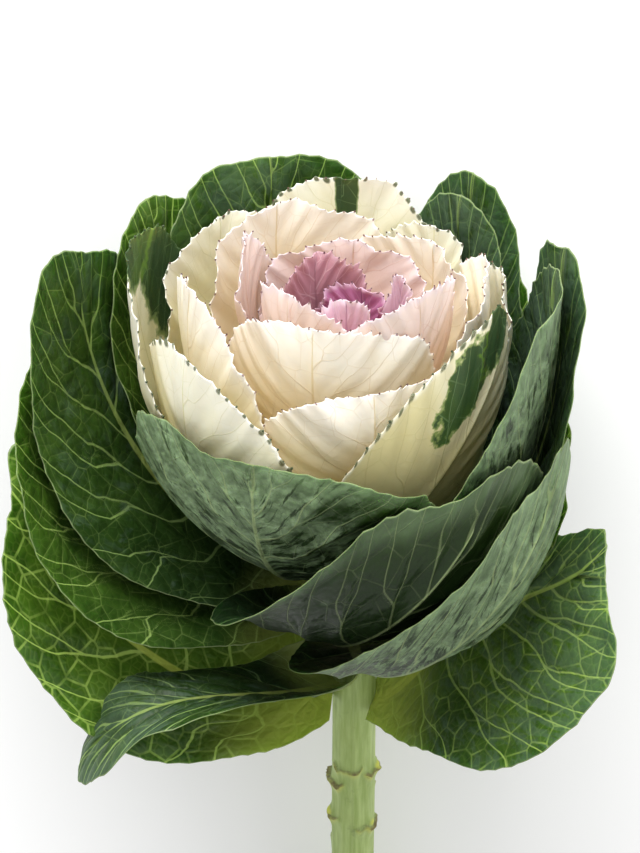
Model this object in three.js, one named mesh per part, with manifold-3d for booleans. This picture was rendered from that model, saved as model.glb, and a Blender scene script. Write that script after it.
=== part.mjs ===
import * as THREE from "three";
import { mergeVertices } from "three/addons/utils/BufferGeometryUtils.js";
import Module from "manifold-3d";

// An ornamental cabbage, cut with a length of its stem and lying on a flat surface.
// Lengths are in millimetres and angles in degrees.
//
// The plant is drawn upright first. Its stem runs along Z with the base of the head at zero.
// Azimuth 0 is the front (-Y), 90 the right (+X) and 180 the back, which is the side it lies on.
// The finished plant is then laid on its back, with the head towards +Y.

// The stem, from the base of the head down to the cut, and its core up inside the head.
const STEM_RADIUS = 7.5;
const STEM_LENGTH = 240;
const CORE_TOP = 73;
const CORE_TIP_RADIUS = 0.8;
const STEM_SIDES = 20;
const RING_STEP = 7.5;
const SCAR_HEIGHT = 1.3;
const SCAR_SPREAD = 4.5;

// The stem stands a little to the right below the head: how far, and the heights between which
// it comes back to the middle.
const ASIDE = 5;
const ASIDE_FROM = 12;
const ASIDE_TO = -32;

// The leaves: the blade's thickness, and the midrib's extra thickness where it joins the stem.
const BLADE = 0.9;
const RIB = 1.7;
const CLEARANCE = 0.35;
const FOOT_ROOM = 0.4;
const SHORTEST_LEAF = 50;

// The blade's section across is followed in this many strips, and curls outside this share of it.
const STRIPS = 5;
const FLAT_PART = 0.55;
const TIGHTEST_BEND = 4;

// Lying down: how far the stem's axis rises towards the head.
const TILT = 13;

// Columns across and rows along each kind of leaf.
const GRID = {
  heart: [6, 5],
  pink: [6, 6],
  cream: [6, 7],
  variegated: [8, 7],
  green: [8, 9],
};

const FINISH = {
  heart: { color: 0xa85a86, roughness: 0.62 },
  pink: { color: 0xe6c3c0, roughness: 0.6 },
  cream: { color: 0xf1e6c6, roughness: 0.58 },
  variegated: { color: 0xcfd3a4, roughness: 0.58 },
  green: { color: 0x2f5a2c, roughness: 0.5 },
  stem: { color: 0xa9b787, roughness: 0.6 },
};

const radians = THREE.MathUtils.degToRad;
const { lerp, clamp, smoothstep } = THREE.MathUtils;
const UP = new THREE.Vector3(0, 0, 1);

// How far below the base of the head the surface is, once the plant lies on it.
const DROP = STEM_LENGTH * Math.sin(radians(TILT)) + STEM_RADIUS * Math.cos(radians(TILT));

// Each leaf's midrib is a curve in its own upright plane. It leaves the stem at height `base`, and
// `low`, `high` and `tip` are [distance from the stem's axis, height]. `width` is the half width.
// `wrap` is how closely the blade bends round the stem's axis, at the foot and at the tip: 1 follows
// a circle about it. `hug` turns that bend from the leaf's own upper side towards the axis.
const HEAD = { wrap: [1, 1], hug: 1, sway: 0, roll: [0, 0], curl: [0, 0], foot: 0.2, wide: 0.55,
  bulge: 1, skew: 0, round: 1 };
const OUTER = { ...HEAD, wrap: [0.6, 0.6], hug: 0.5, foot: 0.13 };

const leaves = [];

function leaf(name, kind, azimuth, base, low, high, tip, width, shape = {}) {
  const habit = kind === "green" ? OUTER : HEAD;
  leaves.push({ ...habit, name, kind, azimuth, base, low, high, tip, width, ...shape });
}

leaf("heart_leaf_1", "heart", 150, 72, [9, 76], [15, 92], [13, 104], 16, { round: 0.6 });
leaf("heart_leaf_2", "heart", 6, 70, [11, 74], [14, 96], [12, 114], 13);
leaf("heart_leaf_3", "heart", -152, 67, [14, 70], [19, 96], [18, 113], 18, { round: 0.7 });
leaf("heart_leaf_4", "heart", 110, 65, [16, 68], [21, 94], [20, 111], 9);
leaf("inner_leaf_1", "pink", -40, 62, [20, 66], [26, 92], [25, 120], 24, { round: 0.8 });
leaf("inner_leaf_2", "pink", 172, 59, [22, 62], [30, 90], [28, 111], 38,
  { round: 0.7, skew: 0.03 });
leaf("inner_leaf_3", "pink", -105, 56, [24, 59], [34, 90], [31, 124], 22);
leaf("inner_leaf_4", "pink", 42, 53, [26, 55], [36, 88], [34, 123], 34, { round: 0.6 });
leaf("cream_leaf_1", "cream", -14, 50, [28, 52], [39, 86], [36, 118], 42,
  { round: 0.7, skew: 0.03 });
leaf("cream_leaf_2", "cream", 130, 47, [32, 50], [42, 84], [38, 112], 36, { round: 0.8 });
leaf("cream_leaf_3", "cream", -150, 44, [35, 46], [46, 86], [41, 120], 40, { round: 0.8 });
leaf("cream_leaf_4", "cream", 84, 41, [36, 44], [47, 84], [45, 118], 37, { round: 0.8 });
leaf("cream_leaf_5", "cream", 12, 38, [38, 40], [50, 75], [45, 101], 44,
  { round: 0.7, skew: 0.08 });
leaf("cream_leaf_6", "cream", -68, 35, [44, 37], [53, 84], [49, 122], 36);
leaf("cream_leaf_7", "cream", 142, 33, [42, 36], [51, 82], [49, 110], 27);
leaf("cream_leaf_8", "cream", 180, 31, [45, 33], [55, 86], [51, 121], 40, { round: 0.8 });
leaf("cream_leaf_9", "cream", 100, 28, [46, 30], [56, 80], [51, 110], 34);
leaf("cream_leaf_10", "cream", -135, 25, [48, 27], [58, 84], [55, 113], 46, { round: 0.8 });
leaf("variegated_leaf_1", "variegated", 10, 22, [48, 26], [57, 74], [52, 111], 31,
  { sway: 64, skew: -0.04 });
leaf("variegated_leaf_2", "variegated", -53, 19, [52, 21], [62, 70], [59, 108], 44);
leaf("variegated_leaf_3", "variegated", -98, 16, [55, 18], [67, 78], [66, 121], 46);

leaf("bowl_leaf", "green", -24, 11, [46, 20], [70, 50], [65, 86], 61,
  { wrap: [0.95, 0.95], hug: 0.9, round: 0.5, skew: -0.02 });
leaf("back_right_leaf", "green", 138, 10, [48, 16], [61, 70], [58, 119], 28,
  { wrap: [0.9, 0.9] });
leaf("back_left_leaf", "green", -160, 7, [52, 11], [70, 70], [68, 121], 48,
  { wrap: [0.9, 0.8], hug: 0.8, round: 0.8 });
leaf("back_left_outer_leaf", "green", -126, 4, [52, 8], [76, 60], [77, 116], 40,
  { wrap: [1, 1], hug: 0.8 });
leaf("right_tall_leaf", "green", 66, 1, [52, 4], [70, 64], [67, 115], 56,
  { sway: 28, wrap: [0.8, 0.9], hug: 0.9 });
leaf("back_right_outer_leaf", "green", 143, -2, [54, 2], [76, 60], [72, 119], 29,
  { wrap: [1, 1], hug: 0.8 });
leaf("left_tall_leaf", "green", -100, -5, [56, 0], [86, 56], [85, 111], 43,
  { wrap: [0.2, 0.2], hug: 0.3, roll: [-16, -18] });
leaf("front_sweeping_leaf", "green", -12, -8, [38, 4], [80, 8], [70, 78], 44,
  { sway: 54, wrap: [0.9, 0.9], hug: 0.8, skew: 0.1, round: 0.8, curl: [-80, 110] });
leaf("right_outer_leaf", "green", 88, -11, [58, -6], [74, 52], [73, 112], 44,
  { sway: 16, wrap: [1, 0.5], hug: 0.8 });
leaf("left_outer_leaf", "green", -92, -15, [60, -14], [94, 30], [96, 84], 46,
  { wrap: [0.3, 0.3], roll: [-15, -15] });
leaf("right_sweeping_leaf", "green", 4, -20, [40, -10], [84, -5], [74, 72], 32,
  { sway: 62, wrap: [0.8, 1], hug: 0.9, skew: 0.1, curl: [0, 90] });
leaf("right_low_leaf", "green", 106, -26, [58, -21], [76, 9], [75, 52], 25,
  { hug: 0.6, wrap: [0.9, 0.9] });
leaf("front_drooping_leaf", "green", -44, -45, [40, -38], [84, 10], [96, -53], 21,
  { sway: -20, wrap: [0.9, 0.9], hug: 0, foot: 0.9, bulge: 1.4, roll: [10, 20] });
leaf("left_bottom_leaf", "green", -95, -50, [45, -46], [78, -14], [103, 32], 53,
  { wrap: [0.2, 0.2], hug: 0, roll: [-28, -28], foot: 0.3 });
leaf("right_bottom_leaf", "green", 68, -54, [42, -44], [72, -14], [91, 24], 42,
  { wrap: [0.2, 0.2], hug: 0, roll: [25, 33], foot: 0.22, bulge: 1.4, wide: 0.62, skew: -0.1 });

// The leaves that the plant lies on.
leaf("under_left_leaf", "green", -149, -31, [58, -32], [84, 30], [88, 96], 38, { hug: 0.2 });
leaf("under_right_leaf", "green", 150, -36, [58, -38], [84, 26], [88, 90], 38, { hug: 0.2 });

// The blade's outline: (u, v) of a square to millimetres across and the share of the way along.
function outline(form, u, v) {
  const q = 2 * v - 1;
  const above = Math.max(q, 0);
  const X = u * Math.sqrt(1 - form.round * above * above / 2);
  const Y = q > 0 ? q * Math.sqrt(1 - form.round * u * u / 2) : q;
  const along = q > 0 ? form.wide + (1 - form.wide) * Y : form.wide * (1 + Y);
  const growth = Math.sin(Math.PI / 2 * clamp(along / form.wide, 0, 1)) ** form.bulge;
  const width = form.width * (q > 0 ? 1 : form.foot + (1 - form.foot) * growth);
  return { x: X * width, s: along * (1 + form.skew * X) };
}

// The midrib, a cubic curve: distance from the axis, height, and how both change along it.
function midrib(form, s) {
  const rest = 1 - s;
  const ends = [[form.start, form.base], form.low, form.high, form.tip];
  const weights = [rest ** 3, 3 * rest * rest * s, 3 * rest * s * s, s ** 3];
  const slopes = [-3 * rest * rest, 3 * rest * (rest - 2 * s), 3 * s * (2 * rest - s), 3 * s * s];
  const sum = (shares, axis) => shares.reduce((total, share, i) => total + share * ends[i][axis], 0);
  return { r: sum(weights, 0), z: sum(weights, 1), dr: sum(slopes, 0), dz: sum(slopes, 1) };
}

// A point of the blade, x millimetres beside the midrib and the share s along it.
function place(form, x, s) {
  const { r, z, dr, dz } = midrib(form, s);
  const azimuth = radians(form.azimuth + form.sway * s * s);
  const out = new THREE.Vector3(Math.sin(azimuth), -Math.cos(azimuth), 0);
  const side = new THREE.Vector3(Math.cos(azimuth), Math.sin(azimuth), 0);
  const along = new THREE.Vector3().addScaledVector(out, dr).addScaledVector(UP, dz)
    .addScaledVector(side, r * radians(2 * form.sway * s)).normalize();
  const level = side.clone().addScaledVector(along, -side.dot(along)).normalize();
  const rise = new THREE.Vector3().crossVectors(along, level).multiplyScalar(1 - form.hug)
    .addScaledVector(out, -form.hug).normalize();
  const roll = radians(lerp(form.roll[0], form.roll[1], s));
  const across = level.clone().multiplyScalar(Math.cos(roll)).addScaledVector(rise, Math.sin(roll));
  const lift = rise.clone().multiplyScalar(Math.cos(roll)).addScaledVector(level, -Math.sin(roll));
  const bend = lerp(form.wrap[0], form.wrap[1], s) / Math.max(r, TIGHTEST_BEND);
  const curl = radians(x < 0 ? form.curl[0] : form.curl[1]);
  const point = new THREE.Vector3(form.aside * (1 - s) ** 3, 0, 0);
  point.addScaledVector(out, r).addScaledVector(UP, z);
  for (let k = 0; k < STRIPS; k += 1) {
    const reach = Math.abs(x) * (k + 0.5) / STRIPS;
    const rim = clamp((reach / form.width - FLAT_PART) / (1 - FLAT_PART), 0, 2);
    const angle = Math.sign(x) * (bend * reach + curl * rim * rim);
    point.addScaledVector(across, Math.cos(angle) * x / STRIPS);
    point.addScaledVector(lift, Math.sin(angle) * x / STRIPS);
  }
  return point;
}

// Where the blade would go below the surface it lies on, it is pressed flat along it.
const DOWN = new THREE.Vector3(0, Math.cos(radians(TILT)), -Math.sin(radians(TILT)));

function press(point, depth) {
  const under = point.dot(DOWN) - (DROP - depth);
  return under > 0 ? point.addScaledVector(DOWN, -under) : point;
}

function bladeNormal(form, x, s) {
  const step = 0.01;
  const near = (dx, ds) => press(place(form, x + dx, s + ds), BLADE / 2);
  const across = near(step, 0).sub(near(-step, 0));
  const along = near(0, step).sub(near(0, -step));
  return along.cross(across).normalize();
}

// A closed grid of two faces, `above` and `below`, joined round the rim.
function slab(columns, rows, above, below) {
  const positions = [...above, ...below].flatMap((point) => point.toArray());
  const index = [];
  const at = (i, j) => i * (rows + 1) + j;
  const under = above.length;
  const quad = (a, b, c, d) => index.push(a, c, b, a, d, c);
  for (let i = 0; i < columns; i += 1) {
    for (let j = 0; j < rows; j += 1) {
      quad(at(i, j), at(i + 1, j), at(i + 1, j + 1), at(i, j + 1));
      quad(under + at(i, j), under + at(i, j + 1), under + at(i + 1, j + 1), under + at(i + 1, j));
    }
  }
  const rim = [];
  for (let i = 0; i < columns; i += 1) rim.push(at(i, 0));
  for (let j = 0; j < rows; j += 1) rim.push(at(columns, j));
  for (let i = columns; i > 0; i -= 1) rim.push(at(i, rows));
  for (let j = rows; j > 0; j -= 1) rim.push(at(0, j));
  rim.forEach((corner, k) => {
    const next = rim[(k + 1) % rim.length];
    quad(corner, under + corner, under + next, next);
  });
  const geometry = new THREE.BufferGeometry();
  geometry.setAttribute("position", new THREE.Float32BufferAttribute(positions, 3));
  geometry.setIndex(index);
  return geometry;
}

// The leaf's solid, thickened by `swell` on each face and widened by `widen` round the margin.
function leafGeometry(form, swell = 0, widen = 0) {
  const [columns, rows] = GRID[form.kind];
  const above = [];
  const below = [];
  for (let i = 0; i <= columns; i += 1) {
    for (let j = 0; j <= rows; j += 1) {
      const u = 2 * i / columns - 1;
      const plain = outline(form, u, j / rows);
      const x = plain.x * (1 + widen / form.width);
      const s = 0.5 + (plain.s - 0.5) * (1 + widen / SHORTEST_LEAF * 2);
      const middle = press(place(form, x, s), BLADE / 2);
      const normal = bladeNormal(form, x, s);
      const rib = i === columns / 2 ? RIB * (1 - s) : 0;
      above.push(middle.clone().addScaledVector(normal, BLADE / 2 + swell));
      below.push(press(middle.addScaledVector(normal, -BLADE / 2 - rib - swell), -swell));
    }
  }
  return slab(columns, rows, above, below);
}

// The stem and its core inside the head, one body, with the scars that fallen leaves left.
const scars = [
  { azimuth: -8, height: -82, size: 1.0 }, { azimuth: 75, height: -86, size: 1.6 },
  { azimuth: 60, height: -112, size: 1.5 }, { azimuth: -70, height: -96, size: 1.3 },
  { azimuth: -62, height: -110, size: 1.2 }, { azimuth: 150, height: -98, size: 1.2 },
  { azimuth: -150, height: -124, size: 1.3 }, { azimuth: 10, height: -138, size: 1.1 },
  { azimuth: 120, height: -150, size: 1.2 }, { azimuth: -100, height: -160, size: 1.2 },
  { azimuth: 40, height: -176, size: 1.0 }, { azimuth: -30, height: -194, size: 1.0 },
];

function stemRadius(azimuth, height) {
  const taper = clamp(height / CORE_TOP, 0, 1);
  let radius = lerp(STEM_RADIUS, CORE_TIP_RADIUS, taper);
  for (const scar of scars) {
    const turn = THREE.MathUtils.euclideanModulo(azimuth - scar.azimuth + 180, 360) - 180;
    const across = radians(turn) * STEM_RADIUS / SCAR_SPREAD;
    const along = (height - scar.height) / SCAR_SPREAD;
    radius += scar.size * SCAR_HEIGHT * Math.exp(-(across * across + along * along));
  }
  return radius;
}

function stemAside(height) {
  return ASIDE * (1 - smoothstep(height, ASIDE_TO, ASIDE_FROM));
}

function stemGeometry() {
  const lowestScar = Math.min(...scars.map((scar) => scar.height)) - 2 * SCAR_SPREAD;
  const highestScar = Math.max(...scars.map((scar) => scar.height)) + 2 * SCAR_SPREAD;
  const heights = [-STEM_LENGTH];
  for (let height = lowestScar; height < highestScar; height += RING_STEP) heights.push(height);
  heights.push(-44, ASIDE_TO, -21, -10, 1, ASIDE_FROM, 30, 50, CORE_TOP);
  const positions = [];
  const index = [];
  heights.forEach((height) => {
    for (let k = 0; k < STEM_SIDES; k += 1) {
      const azimuth = 360 * k / STEM_SIDES;
      const radius = stemRadius(azimuth, height);
      const x = stemAside(height) + radius * Math.sin(radians(azimuth));
      positions.push(x, -radius * Math.cos(radians(azimuth)), height);
    }
  });
  for (let i = 0; i < heights.length - 1; i += 1) {
    for (let k = 0; k < STEM_SIDES; k += 1) {
      const a = i * STEM_SIDES + k;
      const b = i * STEM_SIDES + (k + 1) % STEM_SIDES;
      index.push(a, b, b + STEM_SIDES, a, b + STEM_SIDES, a + STEM_SIDES);
    }
  }
  const last = (heights.length - 1) * STEM_SIDES;
  for (let k = 1; k < STEM_SIDES - 1; k += 1) {
    index.push(0, k + 1, k);
    index.push(last, last + k, last + k + 1);
  }
  const geometry = new THREE.BufferGeometry();
  geometry.setAttribute("position", new THREE.Float32BufferAttribute(positions, 3));
  geometry.setIndex(index);
  return geometry;
}

// The radius at which a leaf's foot, and the midrib under it, clear the stem.
function footRadius(form) {
  return stemRadius(form.azimuth, form.base - RIB) + CLEARANCE + BLADE / 2 + FOOT_ROOM;
}

const wasm = await Module();
wasm.setup();

function solidOf(geometry) {
  const plain = geometry.clone();
  plain.deleteAttribute("normal");
  plain.deleteAttribute("uv");
  const merged = mergeVertices(plain, 1e-4);
  return new wasm.Manifold(new wasm.Mesh({
    numProp: 3,
    vertProperties: new Float32Array(merged.attributes.position.array),
    triVerts: new Uint32Array(merged.index.array),
  }));
}

function geometryOf(solid) {
  const mesh = solid.getMesh();
  const geometry = new THREE.BufferGeometry();
  geometry.setAttribute("position", new THREE.Float32BufferAttribute(mesh.vertProperties, 3));
  geometry.setIndex([...mesh.triVerts]);
  return geometry;
}

function meshOf(name, kind, geometry) {
  const material = new THREE.MeshStandardMaterial({ ...FINISH[kind], metalness: 0 });
  const mesh = new THREE.Mesh(geometry, material);
  mesh.name = name;
  return mesh;
}

// Leaves are set from the heart outwards. Where one would run into a leaf set before it, it gives
// way: the part that would cross is cut back with a clearance, and the rest of it stays.
function giveWay(solid, earlier) {
  const crossed = earlier.filter((other) => solid.intersect(other).volume() > 0);
  if (crossed.length === 0) return null;
  const pieces = crossed.reduce((rest, other) => rest.subtract(other), solid).decompose();
  return pieces.reduce((a, b) => (a.volume() > b.volume() ? a : b));
}

// The room a leaf takes up, which later leaves keep out of.
function roomOf(form) {
  const thicker = solidOf(leafGeometry(form, CLEARANCE));
  return thicker.add(solidOf(leafGeometry(form, CLEARANCE, CLEARANCE)));
}

function setLeaves() {
  const earlier = [];
  return leaves.map((form) => {
    form.start = footRadius(form);
    form.aside = stemAside(form.base);
    const whole = leafGeometry(form);
    const trimmed = giveWay(solidOf(whole), earlier);
    earlier.push(roomOf(form));
    return meshOf(form.name, form.kind, trimmed ? geometryOf(trimmed) : whole);
  });
}

const plant = new THREE.Group();
plant.add(meshOf("stem", "stem", stemGeometry()), ...setLeaves());
plant.rotation.x = radians(TILT - 90);

// The origin is at the middle of the bottom of the plant's box.
const cabbage = new THREE.Group();
cabbage.add(plant);
cabbage.updateMatrixWorld(true);
const box = new THREE.Box3().setFromObject(cabbage, true);
const middle = box.getCenter(new THREE.Vector3());
plant.position.set(-middle.x, -middle.y, -box.min.z);

export default cabbage;
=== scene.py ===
"""An ornamental cabbage, cut with a length of its stem and lying on its back.

The plant is drawn upright in millimetres, with the base of the head at the origin, the stem
along Z and the front at -Y. It is then laid down, in metres, over the frame's own stem.
"""

import math

import bpy
import numpy as np
from bpy.props import FloatProperty, FloatVectorProperty, PointerProperty
from mathutils import Matrix, Vector


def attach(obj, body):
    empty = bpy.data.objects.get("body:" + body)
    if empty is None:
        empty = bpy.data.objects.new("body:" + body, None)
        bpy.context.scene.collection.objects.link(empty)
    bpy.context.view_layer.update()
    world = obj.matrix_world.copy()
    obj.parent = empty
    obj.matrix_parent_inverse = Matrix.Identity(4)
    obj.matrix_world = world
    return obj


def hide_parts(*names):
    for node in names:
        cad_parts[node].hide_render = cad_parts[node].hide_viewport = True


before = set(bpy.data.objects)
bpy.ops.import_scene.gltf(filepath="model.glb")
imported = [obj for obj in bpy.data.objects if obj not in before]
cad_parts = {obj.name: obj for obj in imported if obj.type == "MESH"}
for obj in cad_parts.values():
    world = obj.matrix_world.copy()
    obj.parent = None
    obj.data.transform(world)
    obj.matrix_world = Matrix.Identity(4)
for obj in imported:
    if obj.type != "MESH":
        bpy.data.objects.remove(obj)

bl_info = {
    "name": "Ornamental Cabbage",
    "version": (1, 0, 0),
    "blender": (4, 5, 0),
    "location": "3D View > Sidebar > Cabbage",
    "description": "Builds a cut ornamental cabbage leaf by leaf, with its stem, floor and lights",
    "category": "Add Mesh",
}

MM = 0.001

# The stem, in millimetres from the base of the head, how far its cut length stands aside of the
# head's axis, and how far it leans once it lies down.
STEM_RADIUS = 7.5
STEM_LENGTH = 240
CORE_TOP = 73
CORE_TIP_RADIUS = 0.8
ASIDE = 5
ASIDE_FROM = 12
ASIDE_TO = -32
TILT = math.radians(13)
DROP = STEM_LENGTH * math.sin(TILT) + STEM_RADIUS * math.cos(TILT)

# Where leaves have fallen: azimuth, height, and the size of the scar and of the bud above it.
# A cushion swells up to each scar, which sags in the middle and ends in a ragged lip. In
# millimetres: half the scar's width, the lip's thickness and height over the scar, its sag and
# its raggedness, the cushion's length, where it ends above the scar and how far it swells, and
# the bud's size, how far it stands out and its height over the scar. Then the waves of its line
# and of its strength along it, that strength's mean and how much it varies, and the powers by
# which it fades to its ends and by which its cushion rises.
SCARS = [
    (-20, -84, 1.0, 0.0), (80, -87, 1.5, 1.3), (58, -112, 1.3, 0.9), (-76, -92, 1.7, 0.3),
    (-82, -109, 1.1, 1.5), (150, -98, 1.1, 0.8), (-150, -124, 1.2, 1.0), (10, -138, 1.0, 1.0),
    (120, -150, 1.1, 0.8), (-100, -160, 1.1, 1.1), (40, -176, 1.0, 0.7), (-30, -194, 0.9, 0.9),
]
SCAR_HALF = 7.5
SCAR_LIP = 0.7
SCAR_LIP_AT = 0.3
SCAR_SAG = 1.6
SCAR_RAGGED = 0.8
CUSHION = 6.0
CUSHION_END = 1.1
CUSHION_RISE = 1.5
BUD_SIZE = 1.7
BUD_RISE = 1.3
BUD_ABOVE = 2.0
SCAR_LINE_WAVES = 1.1
SCAR_STRENGTH_WAVES = 0.8
SCAR_STRENGTH = 0.85
SCAR_STRENGTH_VARIES = 0.3
SCAR_FADE = 0.6
CUSHION_SLOPE = 1.6

# The stem's mesh: points round it, rings at its cut end up to a height, rings from there to the
# head and in it, and those that close the cut end and the tip, as shares of their radius. The
# cut end is a little domed, with a rounded edge, and the frame's own is found by the points this
# near to it. The skin has shallow flutes and ridges, which wander to one side and the other, and
# turn, over these lengths.
STEM_AROUND = 96
CUT_RINGS = 4
CUT_RINGS_END = 1 - STEM_LENGTH
STEM_RINGS = 320
CORE_RINGS = (20, 45, CORE_TOP)
CAP_SHARES = np.array([0.02, 0.3, 0.6, 0.85])
CAP_DOME = 0.35
TIP_SHARE = 0.02
CUT_ROUNDING = 0.5
CUT_EDGE = 0.8
CUT_EDGE_NEAR = 0.5
FLUTES = 9
FLUTE_DEPTH = 0.12
FLUTE_WANDER = 0.6
FLUTE_LENGTH = 17
RIDGES = 4
RIDGE_DEPTH = 0.1
RIDGE_LENGTH = 23

# The leaf blades: thickness, the tightest bend, the strips in which the section across is
# followed, its part that doesn't curl, how deep a foot sits in the stem, and the small steps in
# millimetres across and as a share along that tell which way a blade faces.
BLADE = 0.9
TIGHTEST_BEND = 4
STRIPS = 5
FLAT_PART = 0.55
FOOT_SINK = 0.6
STEP_ACROSS = 0.02
STEP_ALONG = 0.0004

# Their meshes: rows from the midrib to the margin, the points that a margin and a midrib are
# measured with, and the fewest teeth to a side.
ROWS = 13
MARGIN_POINTS = 160
ROUGH_POINTS = 50
MIDRIB_POINTS = 60
FEWEST_TEETH = 4

# The rays that fan from the midrib to the margin: how much lower on the midrib those near the
# tip start, the least length of one, how strongly they turn towards the tip on their way, how
# much of a way along them leads away from the margin, and how far in from the margin its teeth
# and waves are felt, as a share of the ray.
TIP_FAN = 0.09
SHORTEST_RAY = 0.3
RAY_BEND = 0.28
RAY_SLANT = 0.85
RIM_ZONE = 0.28

# A midrib beside the middle leaves it, and turns back by a share of its way, between these
# shares of the blade's length.
RIB_LEAVES = (0, 0.35)
RIB_RETURN = 0.55
RIB_RETURNS = (0.6, 1)

# The side veins: how they crowd towards the foot, what sets the numbers of the two sides' veins
# apart, the wander of their line, the length of its waves in millimetres across and their number
# along, the pale blades' folds to each with the wander of these and its waves, and the least and
# the greatest distance between two.
VEIN_CROWDING = 0.85
OTHER_SIDE = 40.5
VEIN_WANDER = 0.18
VEIN_WAVE = 6
VEIN_WAVES = 9
FOLDS_PER_VEIN = 1.5
FOLD_WANDER = 0.3
FOLD_WAVES = 7
VEIN_PITCHES = (1.5, 30)

# The margin: the least size of a tooth and how much its size varies, how pointed it is, how far
# it stands in from the plain outline at its sides, how far it bends out of the blade, and the
# length of the margin's slow waves. The teeth set in over so many columns from the tip, and they
# and the waves between two distances from the midrib. Peaks act on the crown of the leaf, which
# starts between two shares of its length.
TOOTH_LEAST = 0.2
TOOTH_VARIES = 1.1
TOOTH_POINT = 1.25
TOOTH_INSET = 0.35
TOOTH_BEND = 0.35
WAVE_LENGTH = 9
TIP_COLUMNS = 3
TEETH_BESIDE = (1, 6)
WAVES_BESIDE = (2, 12)
CROWN = (0.6, 0.85)

# The blade comes free of its neighbours between two shares of its length, with waves that differ
# between its sides. Its pillows set in on the way out to the margin and up from the foot. It thins
# out to its margin, and carries a midrib below: its height, its taper, its half width at the tip
# and what that gains to the foot, by a power of the way there.
FREE = (0.25, 0.8)
SIDES_APART = 0.6
PILLOWS_OUT = (0.03, 0.35)
PILLOWS_UP = (0.05, 0.3)
PILLOW_ROUND = 0.7
RIM_THINNING = 0.7
RIB_HEIGHT = 1.5
RIB_TAPER = 0.75
RIB_TIP = 0.6
RIB_FOOT = 2.6
RIB_GROWTH = 1.3

# Each leaf's midrib leaves the stem at height `base`. `low`, `high` and `tip` are its other
# control points, as (distance from the stem's axis, height), and `width` is the half width.
# `rib` is how far its midrib and the veins that leave it run beside the blade's middle, and
# `veins` the number of side veins where it isn't its kind's own. Each of its `peaks` draws the
# crown of its margin outwards: where beside the middle, how far, and how wide a stretch.
#
# `wrap` is how closely the blade follows a circle round the head, at its foot and at its tip, and
# `hug` how far it bends towards the stem's axis and not square to its own face. In degrees, `sway`
# swings its tip round the stem, `roll` turns it about its midrib at its foot and at its tip, and
# `curl` its left and its right margin. `foot` is its width at the stem as a share of its greatest,
# which it has from the share `wide` of its length on, and comes to later with more `bulge`. The
# corners of its crown are square at a `round` of 0, and `skew` lengthens its right side.
HEAD = dict(wrap=(1, 1), hug=1, sway=0, roll=(0, 0), curl=(0, 0), foot=0.2, wide=0.55, bulge=1,
            skew=0, round=1, rib=0, peaks=())
OUTER = dict(HEAD, wrap=(0.6, 0.6), hug=0.5, foot=0.13)
LEAVES = []


def leaf(name, kind, azimuth, base, low, high, tip, width, **shape):
    """Lists one leaf, with the habit of its kind where nothing else is said."""
    habit = OUTER if kind == "green" else HEAD
    LEAVES.append(dict(habit, name=name, kind=kind, azimuth=azimuth, base=base, low=low,
                       high=high, tip=tip, width=width, seed=len(LEAVES) + 1) | shape)


leaf("heart_leaf_1", "heart", 150, 72, (9, 76), (15, 92), (13, 104), 16, round=0.6)
leaf("heart_leaf_2", "heart", 6, 70, (11, 74), (14, 96), (12, 114), 13)
leaf("heart_leaf_3", "heart", -152, 67, (14, 70), (19, 96), (18, 113), 18, round=0.7)
leaf("heart_leaf_4", "heart", 110, 65, (16, 68), (21, 94), (20, 111), 9)
leaf("inner_leaf_1", "pink", -40, 62, (20, 66), (26, 92), (25, 120), 24, round=0.8)
leaf("inner_leaf_2", "pink", 172, 59, (22, 62), (30, 90), (28, 111), 38, round=0.7, skew=0.03)
leaf("inner_leaf_3", "pink", -105, 56, (24, 59), (34, 90), (31, 124), 22)
leaf("inner_leaf_4", "pink", 42, 53, (26, 55), (36, 88), (34, 123), 34, round=0.6)
leaf("cream_leaf_1", "cream", -14, 50, (28, 52), (39, 86), (36, 118), 42, round=0.7, skew=0.03)
leaf("cream_leaf_2", "cream", 130, 47, (32, 50), (42, 84), (38, 112), 36, round=0.8)
leaf("cream_leaf_3", "cream", -150, 44, (35, 46), (46, 86), (41, 120), 40, round=0.8)
leaf("cream_leaf_4", "cream", 84, 41, (36, 44), (47, 84), (45, 118), 37, round=0.8)
leaf("cream_leaf_5", "cream", 12, 38, (38, 40), (50, 75), (45, 101), 44, round=0.7, skew=0.08)
leaf("cream_leaf_6", "cream", -68, 35, (44, 37), (53, 84), (49, 122), 36)
leaf("cream_leaf_7", "cream", 142, 33, (42, 36), (51, 82), (49, 110), 27)
leaf("cream_leaf_8", "cream", 180, 31, (45, 33), (55, 86), (51, 121), 40, round=0.8)
leaf("cream_leaf_9", "cream", 100, 28, (46, 30), (56, 80), (51, 110), 34)
leaf("cream_leaf_10", "cream", -135, 25, (48, 27), (58, 84), (55, 113), 46, round=0.8)
leaf("variegated_leaf_1", "variegated", 10, 22, (48, 26), (57, 74), (52, 111), 31,
     sway=64, skew=-0.04)
leaf("variegated_leaf_2", "variegated", -53, 19, (52, 21), (62, 70), (59, 108), 44)
leaf("variegated_leaf_3", "variegated", -98, 16, (55, 18), (67, 78), (66, 121), 46)
leaf("bowl_leaf", "green", -24, 11, (46, 20), (70, 50), (65, 86), 61,
     wrap=(0.95, 0.95), hug=0.9, round=0.5, skew=-0.02)
leaf("back_right_leaf", "green", 138, 10, (48, 16), (61, 70), (58, 119), 28, wrap=(0.9, 0.9))
leaf("back_left_leaf", "green", -160, 7, (52, 11), (70, 70), (68, 121), 48,
     wrap=(0.9, 0.8), hug=0.8, round=0.8, peaks=((22, 4.5, 11),))
leaf("back_left_outer_leaf", "green", -126, 4, (52, 8), (76, 60), (77, 116), 40,
     wrap=(1, 1), hug=0.8)
leaf("right_tall_leaf", "green", 66, 1, (52, 4), (70, 64), (67, 115), 56,
     sway=28, wrap=(0.8, 0.9), hug=0.9)
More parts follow.
